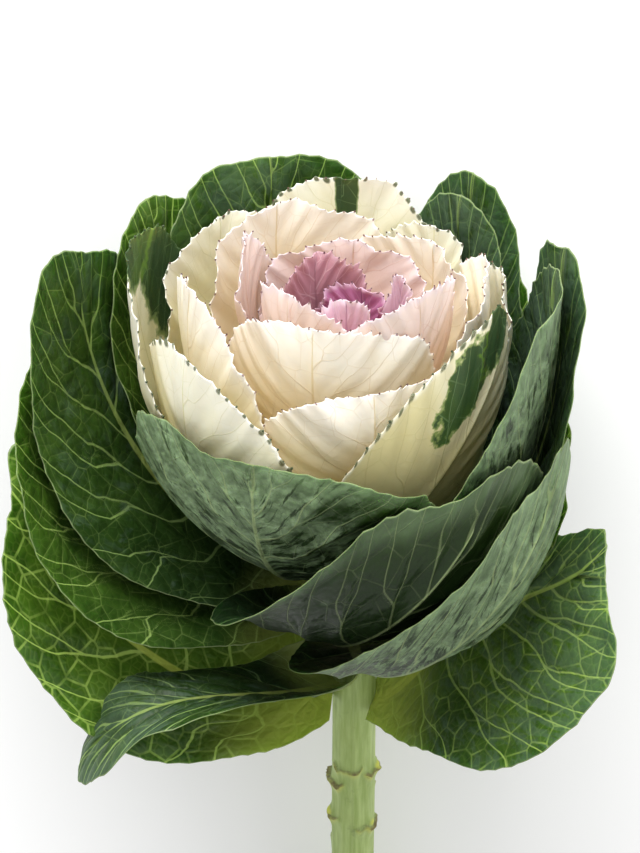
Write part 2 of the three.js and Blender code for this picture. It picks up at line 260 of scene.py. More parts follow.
leaf("back_right_outer_leaf", "green", 143, -2, (54, 2), (76, 60), (72, 119), 29,
     wrap=(1, 1), hug=0.8)
leaf("left_tall_leaf", "green", -100, -5, (56, 0), (86, 56), (85, 111), 43,
     wrap=(0.2, 0.2), hug=0.3, roll=(-16, -18), peaks=((15, 9, 14),))
leaf("front_sweeping_leaf", "green", -12, -8, (38, 4), (80, 8), (70, 78), 44,
     sway=54, wrap=(0.9, 0.9), hug=0.8, skew=0.1, round=0.8, curl=(-80, 110))
leaf("right_outer_leaf", "green", 88, -11, (58, -6), (74, 52), (73, 112), 44,
     sway=16, wrap=(1, 0.5), hug=0.8, peaks=((-6, 2.5, 9), (18, 3, 9)))
leaf("left_outer_leaf", "green", -92, -15, (60, -14), (94, 30), (96, 84), 46,
     wrap=(0.3, 0.3), roll=(-15, -15))
leaf("right_sweeping_leaf", "green", 4, -20, (40, -10), (84, -5), (74, 72), 32,
     sway=62, wrap=(0.8, 1), hug=0.9, skew=0.1, curl=(0, 90))
leaf("right_low_leaf", "green", 106, -26, (58, -21), (76, 9), (75, 52), 25,
     hug=0.6, wrap=(0.9, 0.9))
leaf("front_drooping_leaf", "green", -44, -45, (40, -38), (84, 10), (96, -53), 21,
     sway=-20, wrap=(0.9, 0.9), hug=0, foot=0.9, bulge=1.4, roll=(10, 20))
leaf("left_bottom_leaf", "green", -95, -50, (45, -46), (78, -14), (103, 32), 53,
     wrap=(0.2, 0.2), hug=0, roll=(-28, -28), foot=0.3, rib=15, veins=6,
     peaks=((1, 8, 6),))
leaf("right_bottom_leaf", "green", 68, -54, (42, -44), (72, -14), (91, 24), 42,
     wrap=(0.2, 0.2), hug=0, roll=(25, 33), foot=0.22, bulge=1.4, wide=0.62, skew=-0.1, rib=19,
     peaks=((15, 9, 9), (-10, -4, 11)))
leaf("under_left_leaf", "green", -149, -31, (58, -32), (84, 30), (88, 96), 38, hug=0.2)
leaf("under_right_leaf", "green", 150, -36, (58, -38), (84, 26), (88, 90), 38, hug=0.2)

# How each kind of leaf is finished at its margin and over its blade. `tooth` is the spacing of
# the teeth, `columns` the mesh columns to each and `depth` their size; `frill` is the height of
# the margin's waves and `crimp` their number to a side; `rim_wave` is how far it wanders in and
# out; `pleat` folds the blade along its veins; `quilt` raises it between them; `veins` is the
# number of side veins to a side and `slant` how far they lean; `slot` is its material slot.
HABITS = {
    "heart": dict(tooth=2.3, columns=6, depth=1.4, frill=1.7, crimp=6, pleat=0.6, quilt=0.1,
                  rim_wave=1.2, veins=7, slant=0.45, slot="purple_leaf"),
    "pink": dict(tooth=2.8, columns=6, depth=1.2, frill=1.6, crimp=8, pleat=0.8, quilt=0.1,
                 rim_wave=1.8, veins=7, slant=0.45, slot="pink_leaf"),
    "cream": dict(tooth=3.2, columns=6, depth=1.1, frill=1.5, crimp=8, pleat=0.45, quilt=0.15,
                  rim_wave=1.9, veins=7, slant=0.45, slot="cream_leaf"),
    "variegated": dict(tooth=3.6, columns=6, depth=0.8, frill=1.1, crimp=7, pleat=0.5,
                       quilt=0.2, rim_wave=1.4, veins=7, slant=0.45, slot="variegated_leaf"),
    "green": dict(tooth=6.5, columns=8, depth=0.7, frill=1.3, crimp=6, pleat=0, quilt=1.8,
                  rim_wave=1.5, veins=8, slant=0.5, slot="green_leaf"),
}

# Per green leaf: how young it is, from deep blue-green at 0 to yellow-green at 1, with painted
# light shining through the youngest; how much waxy bloom lies on its upper side; and how much lies
# on its underside at the left and at the right. Less bloom leaves a side darker, and these values
# also paint the shade that a leaf, or one side of its underside, lies in.
GREENS = {
    "bowl_leaf": (0.2, 0.3, 0.95, 0.1), "back_right_leaf": (0.1, 0.6, 0.5, 0.5),
    "back_left_leaf": (0.45, 0.3, 0.5, 0.5), "back_left_outer_leaf": (0.6, 0.15, 0.5, 0.5),
    "right_tall_leaf": (0.1, 0.45, 0.45, 0.6), "back_right_outer_leaf": (0.4, 0.5, 0.5, 0.5),
    "left_tall_leaf": (0.4, 0.3, 0.5, 0.5), "front_sweeping_leaf": (0.1, 0.1, 0.1, 0.0),
    "right_outer_leaf": (0.3, 0.5, 0.5, 0.6), "left_outer_leaf": (0.6, 0.1, 0.5, 0.5),
    "right_sweeping_leaf": (0.0, 0.1, 0.7, 0.7), "right_low_leaf": (1.0, 0.0, 0.3, 0.3),
    "front_drooping_leaf": (0.3, 0.45, 0.7, 0.7), "left_bottom_leaf": (1.0, 0.0, 0.3, 0.3),
    "right_bottom_leaf": (0.85, 0.65, 0.6, 0.6), "under_left_leaf": (0.5, 0.1, 0.5, 0.5),
    "under_right_leaf": (0.5, 0.1, 0.5, 0.5),
}


def smooth(values, low, high):
    """A smooth step from 0 at low to 1 at high."""
    share = np.clip((values - low) / (high - low), 0, 1)
    return share * share * (3 - 2 * share)


def stem_aside(height):
    """How far the stem's axis stands to the right of the head's."""
    return ASIDE * (1 - smooth(height, ASIDE_TO, ASIDE_FROM))


def scar_forms(azimuth, height):
    """How strongly each point belongs to a scar's cushion, to its lip and to a bud."""
    cushion, lip, bud = (np.zeros(np.broadcast(azimuth, height).shape) for _ in range(3))
    for at, level, scar_size, bud_size in SCARS:
        turn = (azimuth - at + 180) % 360 - 180
        across = np.radians(turn) * STEM_RADIUS
        beside = across / SCAR_HALF
        ragged = SCAR_RAGGED * wobble(across * SCAR_LINE_WAVES, level)
        above = height - level - SCAR_SAG * beside ** 2 - ragged
        held = np.clip(1 - beside ** 2, 0, 1) ** SCAR_FADE * scar_size
        varied = SCAR_STRENGTH_VARIES * wobble(across * SCAR_STRENGTH_WAVES, level + 2)
        held = held * (SCAR_STRENGTH + varied)
        swell = np.clip(above / CUSHION + 1, 0, 1) ** CUSHION_SLOPE
        cushion = cushion + held * swell * (1 - smooth(above, 0, CUSHION_END))
        lip = lip + held * np.exp(-((above - SCAR_LIP_AT) / SCAR_LIP) ** 2)
        high = (height - level - BUD_ABOVE) / BUD_SIZE
        bud = bud + bud_size * np.exp(-((across / BUD_SIZE) ** 2 + high ** 2))
    return cushion, lip, bud


def stem_radius(azimuth, height):
    """The stem's radius, with its leaf scars and buds."""
    taper = np.clip(height / CORE_TOP, 0, 1)
    cushion, _, bud = scar_forms(azimuth, height)
    swelling = CUSHION_RISE * cushion + BUD_RISE * bud
    return STEM_RADIUS + (CORE_TIP_RADIUS - STEM_RADIUS) * taper + swelling


def plant_origin():
    """The base of the head, from the middle of the frame's cut stem end."""
    axis = np.array([0, math.cos(TILT), math.sin(TILT)])
    points = np.array([tuple(v.co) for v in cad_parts["stem"].data.vertices])
    height = points @ axis
    cut = points[height < height.min() + CUT_EDGE_NEAR * MM]
    middle = (cut.min(axis=0) + cut.max(axis=0)) / 2
    return middle - np.array([ASIDE, 0, 0]) * MM + axis * STEM_LENGTH * MM


ORIGIN = plant_origin()


def lay_down(points):
    """Plant millimetres to metres in the frame."""
    x, y, z = np.moveaxis(points, -1, 0)
    lean, rise = math.sin(TILT), math.cos(TILT)
    return np.stack([x, y * lean + z * rise, z * lean - y * rise], -1) * MM + ORIGIN


def outline(form, u, v):
    """From (u, v) of a square to millimetres across the blade and the share along it."""
    q = 2 * v - 1
    above = np.maximum(q, 0)
    wide = form["wide"]
    x = u * np.sqrt(1 - form["round"] * above ** 2 / 2)
    y = np.where(q > 0, q * np.sqrt(1 - form["round"] * u ** 2 / 2), q)
    along = np.where(q > 0, wide + (1 - wide) * y, wide * (1 + y))
    growth = np.sin(np.pi / 2 * np.clip(along / wide, 0, 1)) ** form["bulge"]
    width = form["width"] * np.where(q > 0, 1, form["foot"] + (1 - form["foot"]) * growth)
    return x * width, along * (1 + form["skew"] * x)


def midrib(form, s):
    """The midrib's distance from the axis and its height, and how both change along it."""
    start = float(stem_radius(form["azimuth"], form["base"])) - FOOT_SINK
    ends = np.array([(start, form["base"]), form["low"], form["high"], form["tip"]], float)
    rest = 1 - s
    weights = (rest ** 3, 3 * rest ** 2 * s, 3 * rest * s ** 2, s ** 3)
    slopes = (-3 * rest ** 2, 3 * rest ** 2 - 6 * rest * s, 6 * rest * s - 3 * s ** 2, 3 * s ** 2)
    r, z = (sum(part * end[k] for part, end in zip(weights, ends)) for k in (0, 1))
    dr, dz = (sum(part * end[k] for part, end in zip(slopes, ends)) for k in (0, 1))
    return r, z, dr, dz


def unit(vectors):
    """Vectors of length one, the same way."""
    return vectors / np.maximum(np.linalg.norm(vectors, axis=-1, keepdims=True), 1e-12)


def blade_point(form, x, s):
    """A point of the blade's middle face, x millimetres beside the midrib at the share s."""
    r, z, dr, dz = midrib(form, s)
    azimuth = np.radians(form["azimuth"] + form["sway"] * s * s)
    flat = np.zeros_like(azimuth)
    out = np.stack([np.sin(azimuth), -np.cos(azimuth), flat], -1)
    side = np.stack([np.cos(azimuth), np.sin(azimuth), flat], -1)
    up = np.array([0.0, 0.0, 1.0])
    swing = r * np.radians(2 * form["sway"] * s)
    along = unit(dr[..., None] * out + dz[..., None] * up + swing[..., None] * side)
    level = unit(side - (side * along).sum(-1, keepdims=True) * along)
    rise = unit(np.cross(along, level) * (1 - form["hug"]) - out * form["hug"])
    first, last = form["roll"]
    roll = np.radians(first + (last - first) * s)[..., None]
    across = level * np.cos(roll) + rise * np.sin(roll)
    lift = rise * np.cos(roll) - level * np.sin(roll)
    first, last = form["wrap"]
    bend = (first + (last - first) * s) / np.maximum(r, TIGHTEST_BEND)
    curl = np.radians(np.where(x < 0, form["curl"][0], form["curl"][1]))
    point = r[..., None] * out + z[..., None] * up
    point[..., 0] += stem_aside(form["base"]) * (1 - s) ** 3
    for k in range(STRIPS):
        reach = np.abs(x) * (k + 0.5) / STRIPS
        rim = np.clip((reach / form["width"] - FLAT_PART) / (1 - FLAT_PART), 0, 2)
        angle = np.sign(x) * (bend * reach + curl * rim ** 2)
        step = (x / STRIPS)[..., None]
        point = point + across * np.cos(angle)[..., None] * step
        point = point + lift * np.sin(angle)[..., None] * step
    return press(point, BLADE / 2)


def press(points, depth):
    """What would go below the surface lies flat along it instead."""
    down = np.array([0, math.cos(TILT), -math.sin(TILT)])
    under = np.maximum(points @ down - (DROP - depth), 0)
    return points - under[..., None] * down


def blade_normal(form, x, s):
    """The direction square to the blade, on its upper side."""
    across = blade_point(form, x + STEP_ACROSS, s) - blade_point(form, x - STEP_ACROSS, s)
    along = blade_point(form, x, s + STEP_ALONG) - blade_point(form, x, s - STEP_ALONG)
    return unit(np.cross(along, across))


# What scatters whole numbers and seeds into fractions. An irregular wave is a sum of plain ones:
# how much faster each is than the one before, how far it is shifted by its seed and its number,
# round a turn, and what the sum is divided by.
NUMBER_SCATTER = 12.9898
SEED_SCATTER = 78.233
FULL_SCATTER = 43758.5453
WOBBLE_FASTER = 0.63
WOBBLE_BY_SEED = 1.7
WOBBLE_BY_NUMBER = 2.3
WOBBLE_TURN = 6.28
WOBBLE_SUM = 1.6


def wobble(values, seed, octaves=3):
    """A smooth irregular wave between about -1 and 1."""
    total = np.zeros_like(values, dtype=float)
    for k in range(octaves):
        turn = (seed * WOBBLE_BY_SEED + k * WOBBLE_BY_NUMBER) % WOBBLE_TURN
        total += np.sin(values * (1 + WOBBLE_FASTER * k) + turn) / (1 + k)
    return total / WOBBLE_SUM


def chance(values, seed):
    """A repeatable fraction for each whole number."""
    turned = np.sin(np.floor(values) * NUMBER_SCATTER + seed * SEED_SCATTER) * FULL_SCATTER
    return turned - np.floor(turned)


def half_margin(form, side, steps, length):
    """The margin from foot to tip on one side: across, along and the distance from the tip."""
    run = np.linspace(0, 1, MARGIN_POINTS)
    flank = outline(form, np.full_like(run, side), run)
    crown = outline(form, side * (1 - run), np.ones_like(run))
    x = np.concatenate([flank[0], crown[0][1:]])
    s = np.concatenate([flank[1], crown[1][1:]])
    gone = np.concatenate([[0], np.cumsum(np.hypot(np.diff(x), np.diff(s) * length))])
    even = np.linspace(0, gone[-1], steps + 1)
    return np.interp(even, gone, x), np.interp(even, gone, s), gone[-1] - even


def midrib_length(form):
    """The midrib's length in millimetres."""
    r, z, _, _ = midrib(form, np.linspace(0, 1, MIDRIB_POINTS))
    return float(np.hypot(np.diff(r), np.diff(z)).sum())


def rib_beside(form, s):
    """How far the midrib runs beside the blade's middle. It turns back towards it at the tip."""
    return form["rib"] * smooth(s, *RIB_LEAVES) * (1 - RIB_RETURN * smooth(s, *RIB_RETURNS))


def leaf_plan(form):
    """The flat blade: columns fan from the midrib to the margin, as its side veins do.

    A column ends on the margin at `rim_x`, `rim_s` and starts on the midrib at `spine`. `rim` is
    its place along the margin from the tip, `run` its length, and `tooth` and `vein` count the
    teeth and the side veins.
    """
    habit = HABITS[form["kind"]]
    length = midrib_length(form)
    margin_length = half_margin(form, 1, ROUGH_POINTS, length)[2][0]
    teeth = max(FEWEST_TEETH, round(margin_length / habit["tooth"]))
    steps = teeth * habit["columns"]
    left = half_margin(form, -1, steps, length)
    right = half_margin(form, 1, steps, length)
    rim_x = np.concatenate([left[0], right[0][::-1][1:]])
    rim_s = np.concatenate([left[1], right[1][::-1][1:]])
    rim = np.concatenate([-left[2], right[2][::-1][1:]])
    column = np.arange(-steps, steps + 1)
    from_tip = np.abs(column)
    middle = ((left[1] + right[1]) / 2)[::-1][from_tip]
    spread = ((np.abs(left[0]) + np.abs(right[0])) / 2)[::-1][from_tip] / form["width"]
    nearness = 1 - from_tip / steps
    spine = middle * (1 - habit["slant"] * np.clip(spread, 0, 1)) - TIP_FAN * nearness ** 5
    tooth = (steps - from_tip) / habit["columns"] * np.sign(column)
    vein = form.get("veins", habit["veins"]) * (spine / spine.max()) ** VEIN_CROWDING
    vein = vein + np.where(rim < 0, OTHER_SIDE, 0)
    run = np.hypot(rim_x - rib_beside(form, spine), (rim_s - spine) * length) + SHORTEST_RAY
    columns = dict(rim_x=rim_x, rim_s=rim_s, rim=rim, spine=spine, tooth=tooth, vein=vein,
                   from_tip=from_tip, run=run)
    return {key: values[:, None] for key, values in columns.items()} | dict(length=length)


def margin_push(form, plan):
    """How far its teeth and slow waves push the margin outwards, in millimetres."""
    habit, seed = HABITS[form["kind"]], form["seed"]
    beside = np.abs(plan["rim_x"])
    sharp = 1 - np.abs(2 * (plan["tooth"] % 1) - 1)
    size = TOOTH_LEAST + TOOTH_VARIES * chance(plan["tooth"], seed)
    teeth = habit["depth"] * size * (sharp ** TOOTH_POINT - TOOTH_INSET)
    teeth = teeth * np.clip(plan["from_tip"] / TIP_COLUMNS, 0, 1) * smooth(beside, *TEETH_BESIDE)
    waves = habit["rim_wave"] * wobble(plan["rim"] / WAVE_LENGTH, seed, 2)
    return teeth + waves * smooth(beside, *WAVES_BESIDE)


def peak_draw(form, plan):
    """How far its peaks draw the crown of the margin outwards, in millimetres."""
    crown = smooth(plan["rim_s"], *CROWN)
    return sum(height * np.exp(-((plan["rim_x"] - at) / width) ** 2) * crown
               for at, height, width in form["peaks"])


def leaf_relief(form, plan, outward, s, vein):
    """How far the blade rises from its plain shape, by waves, folds and pillows between veins.

    The powers of `outward` say how near to the margin each of them keeps.
    """
    habit, seed = HABITS[form["kind"]], form["seed"]
    side = np.sign(plan["rim"])
    phase = plan["rim"] / plan["rim"].max() * np.pi * habit["crimp"]
    waves = habit["frill"] * outward ** 3 * wobble(phase + SIDES_APART * side, seed, 3)
    teeth = TOOTH_BEND * habit["depth"] * outward ** 8 * np.sin(np.pi * plan["tooth"])
    lanes = plan["vein"] * FOLDS_PER_VEIN + FOLD_WANDER * wobble(s * FOLD_WAVES, seed)
    folds = np.sin(2 * np.pi * lanes)
    pleats = habit["pleat"] * outward ** 1.4 * (1 - 0.5 * outward ** 6) * folds
    puff = np.abs(np.sin(np.pi * (vein + 0.5))) ** PILLOW_ROUND
    within = smooth(outward, *PILLOWS_OUT) * (1 - outward ** 5) * smooth(s, *PILLOWS_UP)
    pillows = habit["quilt"] * puff * within
    return (waves + teeth + pleats) * smooth(s, *FREE) + pillows


def vein_pitch(place, vein):
    """The distance from one side vein to the next at each point, in millimetres."""
    gap = np.gradient(place, axis=0)
    ray = unit(np.gradient(place, axis=1))
    turn = np.abs(np.gradient(vein, axis=0)) + 1e-4
    pitch = np.abs(gap[..., 0] * ray[..., 1] - gap[..., 1] * ray[..., 0]) / turn
    return np.clip(pitch, *VEIN_PITCHES)


def leaf_arrays(form):
    """Positions of a leaf's upper and lower face, and what its material reads at each point."""
    plan = leaf_plan(form)
    rim_x, rim_s, spine, run = (plan[key] for key in ("rim_x", "rim_s", "spine", "run"))
    outward = (0.5 - 0.5 * np.cos(np.pi * np.arange(ROWS + 1) / ROWS))[None, :]
    at_rim = np.clip((outward - 1 + RIM_ZONE) / RIM_ZONE, 0, 1) ** 2
    reach = outward * (1 + peak_draw(form, plan) / run) + margin_push(form, plan) / run * at_rim
    rib_x = rib_beside(form, spine)
    x = rib_x + (rim_x - rib_x) * reach
    s = spine + (rim_s - spine) * ((1 - RAY_BEND) * reach + RAY_BEND * reach ** 2)
    vein = plan["vein"] + VEIN_WANDER * wobble(x / VEIN_WAVE + s * VEIN_WAVES, form["seed"], 2)

    point = blade_point(form, x, s)
    normal = blade_normal(form, x, s)
    lift = leaf_relief(form, plan, outward, s, vein)
    thick = BLADE / 2 * (1 - RIM_THINNING * outward ** 4)
    to_tip = 1 - np.clip(s, 0, 1)
    across = x - rib_beside(form, s)
    ridge = np.exp(-(across / (RIB_TIP + RIB_FOOT * to_tip ** RIB_GROWTH)) ** 2)
    rib = RIB_HEIGHT * (1 - RIB_TAPER * (1 - to_tip)) * ridge
    upper = point + normal * (lift + thick)[..., None]
    lower = point + normal * (lift - thick - rib)[..., None]

    place = np.stack([x, s * plan["length"]], -1)
    ones = np.ones_like(x)
    fields = dict(vein=vein, pitch=vein_pitch(place, vein), run=outward * run, reach=outward * ones,
                  across=across, share=s, along=s * plan["length"],
                  margin=(1 - outward) * run * RAY_SLANT, tooth=plan["tooth"] * ones,
                  seed=form["seed"] * ones, beside=rim_x * outward / form["width"])
    return upper, lower, fields


def leaf_mesh(name, form):
    """A closed thin blade. The two halves share the vertices of the midrib."""
    upper, lower, fields = leaf_arrays(form)
    columns, rows = upper.shape[:2]
    one_side = columns * rows
    number = np.arange(one_side).reshape(columns, rows)
    column = np.arange(columns)
    number[:, 0] = number[np.minimum(column, columns - 1 - column), 0]
    upper_faces = np.stack([number[:-1, :-1], number[1:, :-1], number[1:, 1:], number[:-1, 1:]], -1)
    upper_faces = upper_faces.reshape(-1, 4)
    lower_faces = upper_faces[:, ::-1] + one_side
    edge = np.concatenate([number[0, :], number[1:, -1], number[-1, -2::-1]])
    rim_faces = np.stack([edge[:-1], edge[1:], edge[1:] + one_side, edge[:-1] + one_side], -1)
    faces = np.concatenate([upper_faces, lower_faces, rim_faces])
    points = lay_down(np.concatenate([upper.reshape(-1, 3), lower.reshape(-1, 3)]))
    points[:, 2] = np.maximum(points[:, 2], 0)
    values = {key: np.tile(field.reshape(-1), 2) for key, field in fields.items()}
    values["upper"] = np.repeat([1.0, 0.0], one_side)
    return plain_mesh(name, points, faces, values)


def add_field(mesh, key, values):
    """Gives a mesh one value at each of its points."""
    layer = mesh.attributes.new(key, "FLOAT", "POINT")
    layer.data.foreach_set("value", values.astype(np.float32))


def read_field(mesh, key):
    """The values that a mesh carries at its points."""
    values = np.empty(len(mesh.vertices), np.float32)
    mesh.attributes[key].data.foreach_get("value", values)
    return values


def plain_mesh(name, points, faces, fields):
    """A mesh of used vertices only, its faces turned outwards, with its fields."""
    used, inverse = np.unique(faces, return_inverse=True)
    faces = inverse.reshape(faces.shape)
    points = points[used]
    a, b, c, d = (points[faces[:, k]] for k in range(4))
    volume = (np.cross(b - a, c - a) * a).sum() + (np.cross(c - a, d - a) * a).sum()
    if volume < 0:
        faces = faces[:, ::-1]
    mesh = bpy.data.meshes.new(name)
    distinct = [list(dict.fromkeys(face)) for face in faces.tolist()]
    mesh.from_pydata(points.tolist(), [], [face for face in distinct if len(face) > 2])
    mesh.update()
    for key, values in fields.items():
        add_field(mesh, key, values[used])
    mesh.polygons.foreach_set("use_smooth", np.ones(len(mesh.polygons), bool))
    return mesh


def stem_surface():
    """The stem's skin as rings of points, upright, and what its material reads there."""
    height = np.concatenate([np.linspace(-STEM_LENGTH, CUT_RINGS_END, CUT_RINGS)[:-1],
                             np.linspace(CUT_RINGS_END, 0, STEM_RINGS), CORE_RINGS])
    azimuth = np.arange(STEM_AROUND) * 360 / STEM_AROUND
    turn, level = np.meshgrid(azimuth, height)
    angle = np.radians(turn)
    wander = FLUTE_WANDER * np.sin(level / FLUTE_LENGTH)
    flutes = FLUTE_DEPTH * np.sin(angle * FLUTES + wander)
    ridges = RIDGE_DEPTH * np.sin(angle * RIDGES + level / RIDGE_LENGTH)
    rounding = CUT_ROUNDING * smooth(-level, STEM_LENGTH - CUT_EDGE, STEM_LENGTH)
    radius = stem_radius(turn, level) + flutes + ridges - rounding
    points = np.stack([radius * np.sin(angle), -radius * np.cos(angle), level], -1)
    cushion, lip, bud = scar_forms(turn, level)
    cut = np.where(level <= -STEM_LENGTH, 1.0, 0.0)
    return points, dict(turn=turn / 360, height=level, cushion=cushion, lip=lip, bud=bud,
                        cut=cut, radius=np.ones_like(level))


def stem_mesh():
    """The stem's skin, closed by its cut end and by its tip in the head."""
    skin, skin_fields = stem_surface()
    share = CAP_SHARES[:, None, None]
    cap = skin[0] * (1, 1, 0) * share + np.array([0, 0, 1]) * (CAP_DOME * (1 - share) - STEM_LENGTH)
    tip = skin[-1:] * (TIP_SHARE, TIP_SHARE, 1)
    points = np.concatenate([cap, skin, tip])
    points[..., 0] += stem_aside(points[..., 2])
    places = lay_down(points.reshape(-1, 3))
    places[:, 2] = np.maximum(places[:, 2], 0)

    # The last ring at either end is drawn into one point.
    number = np.arange(len(places)).reshape(points.shape[:2])
    number[0] = number[0, 0]
    number[-1] = number[-1, 0]
    after = np.roll(number, -1, axis=1)
    faces = np.stack([number[:-1], after[:-1], after[1:], number[1:]], -1).reshape(-1, 4)
    ends = dict(height=(-STEM_LENGTH, CORE_TOP), cut=(1, 0), radius=(CAP_SHARES[:, None], 1))
    fields = {}
    for key, field in skin_fields.items():
        at_cap, at_tip = (np.asarray(value) for value in ends.get(key, (0, 0)))
        cap_rows = np.zeros((len(CAP_SHARES), STEM_AROUND)) + at_cap
        tip_row = np.zeros((1, STEM_AROUND)) + at_tip
        fields[key] = np.concatenate([cap_rows, field, tip_row]).reshape(-1)
    return plain_mesh("stem", places, faces, fields)


def add_object(name, data):
    """A new object in the scene."""
    made = bpy.data.objects.new(name, data)
    bpy.context.scene.collection.objects.link(made)
    return made


def add_piece(name, mesh, material, slot, *nodes):
    """Puts a finished mesh in the scene, standing for its nodes of the frame."""
    piece = add_object(name, mesh)
    if material is not None:
        mesh.materials.append(material)
    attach(piece, "root")
    if nodes:
        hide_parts(*nodes)


def opaque(colour):
    """A colour with full alpha. A socket stays as it is."""
    return colour if isinstance(colour, bpy.types.NodeSocket) else (*colour[:3], 1.0)


class Tree:
    """A node tree being built: most methods add a node and return its output socket."""

    def __init__(self, tree):
        self.tree = tree

    def feed(self, socket, value):
        """Links another node's output to a socket, or sets the socket's own value."""
        if isinstance(value, bpy.types.NodeSocket):
            self.tree.links.new(value, socket)
        else:
            socket.default_value = value

    def node(self, kind, inputs=None, **settings):
        """A node of any kind, its inputs given by name or number."""
        made = self.tree.nodes.new(kind)
        for key, value in settings.items():
            setattr(made, key, value)
        for key, value in (inputs or {}).items():
            self.feed(made.inputs[key], value)
        return made

    def math(self, operation, a, b=0.0, c=0.0, clamp=False):
        """One step of arithmetic on numbers or sockets."""
        return self.node("ShaderNodeMath", {0: a, 1: b, 2: c}, operation=operation,
                         use_clamp=clamp).outputs[0]

    def plus(self, a, b):
        return self.math("ADD", a, b)

    def minus(self, a, b, clamp=False):
        return self.math("SUBTRACT", a, b, clamp=clamp)

    def times(self, a, b):
        return self.math("MULTIPLY", a, b)

    def times_plus(self, a, b, c, clamp=False):
        """a times b, plus c."""
        return self.math("MULTIPLY_ADD", a, b, c, clamp)

    def over(self, a, b):
        return self.math("DIVIDE", a, b)

    def distance(self, a, b):
        """The length of the way a to one side and b to the other."""
        return self.math("SQRT", self.times_plus(a, a, self.times(b, b)))

    def fade(self, value, low, high, start=0.0, end=1.0):
        """A smooth step of value from start at low to end at high."""
        return self.node("ShaderNodeMapRange", {"Value": value, "From Min": low, "From Max": high,
                                                "To Min": start, "To Max": end},
                         interpolation_type="SMOOTHSTEP").outputs[0]

    def near(self, distance, inner, outer, most=1.0):
        """The most up to the inner distance, and nothing from the outer one."""
        return self.fade(distance, inner, outer, most, 0.0)

    def mix(self, factor, a, b):
        """From colour a at 0 to colour b at 1, by the colour sockets of a Mix node."""
        return self.node("ShaderNodeMix", {0: factor, 6: opaque(a), 7: opaque(b)},
                         data_type="RGBA", clamp_factor=True).outputs[2]

    def layers(self, colour, *over):
        """A colour with others laid over it in turn, each given with its mask."""
        for mask, tint in over:
            colour = self.mix(mask, colour, tint)
        return colour

    def field(self, name):
        """A value that the mesh carries at its points."""
        return self.node("ShaderNodeAttribute", attribute_name=name).outputs["Fac"]

    def fields(self, *names):
        """Several such values."""
        return [self.field(name) for name in names]

    def vector(self, x, y=0.0, z=0.0):
        return self.node("ShaderNodeCombineXYZ", {0: x, 1: y, 2: z}).outputs[0]

    def place(self):
        """The point's place in metres."""
        return self.node("ShaderNodeTexCoord").outputs["Object"]

    def noise(self, vector, scale, detail=2.0, roughness=0.5):
        """A cloudy value from 0 to 1. Its scale is the number of clouds to a unit of length."""
        inputs = {"Vector": vector, "Scale": scale, "Detail": detail, "Roughness": roughness}
        return self.node("ShaderNodeTexNoise", inputs).outputs[0]

    def lot(self, number):
        """A chance value from 0 to 1 for each number."""
        return self.node("ShaderNodeTexWhiteNoise", {"W": number},
                         noise_dimensions="1D").outputs["Value"]

    def group(self, group, **values):
        """The outputs of a group node, its inputs set by name with _ for a space."""
        made = self.node("ShaderNodeGroup", node_tree=group)
        for key, value in values.items():
            self.feed(made.inputs[key.replace("_", " ")], value)
        return made.outputs


# The shader groups that several finishes share, made once. In them and in the finishes, lengths
# on the flat blade are millimetres, and masks, shares and noises run from 0 to 1. A noise on the
# place in metres has so many clouds to a metre.
GROUPS = {}
FLOAT = "NodeSocketFloat"


def open_group(name, outputs, inputs):
    """A new shader node group of numbers: its tree, its inputs and its output node's sockets."""
    tree = bpy.data.node_groups.new(name, "ShaderNodeTree")
    for label, default in inputs.items():
        socket = tree.interface.new_socket(label, in_out="INPUT", socket_type=FLOAT)
        socket.default_value = default
    for label in outputs:
        tree.interface.new_socket(label, in_out="OUTPUT", socket_type=FLOAT)
    given = tree.nodes.new("NodeGroupInput").outputs
    return Tree(tree), given, tree.nodes.new("NodeGroupOutput").inputs


def leaf_plane(tree, seed_shift=11.3):
    """The flat blade's own coordinates in millimetres, shifted for each leaf."""
    shift = tree.times(tree.field("seed"), seed_shift)
    return tree.vector(tree.plus(tree.field("across"), shift), tree.field("along"), shift)


def cell_edge(tree, length, randomness):
    """Millimetres to the nearest border in a net of cells of this length, on the flat blade."""
    across = tree.plus(tree.field("across"), tree.times(tree.field("seed"), 23.7))
    cells = tree.vector(tree.over(across, length), tree.over(tree.field("along"), length))
    edge = tree.node("ShaderNodeTexVoronoi", {"Vector": cells, "Scale": 1.0,
                                              "Randomness": randomness},
                     feature="DISTANCE_TO_EDGE", voronoi_dimensions="2D").outputs[0]
    return tree.times(edge, length)


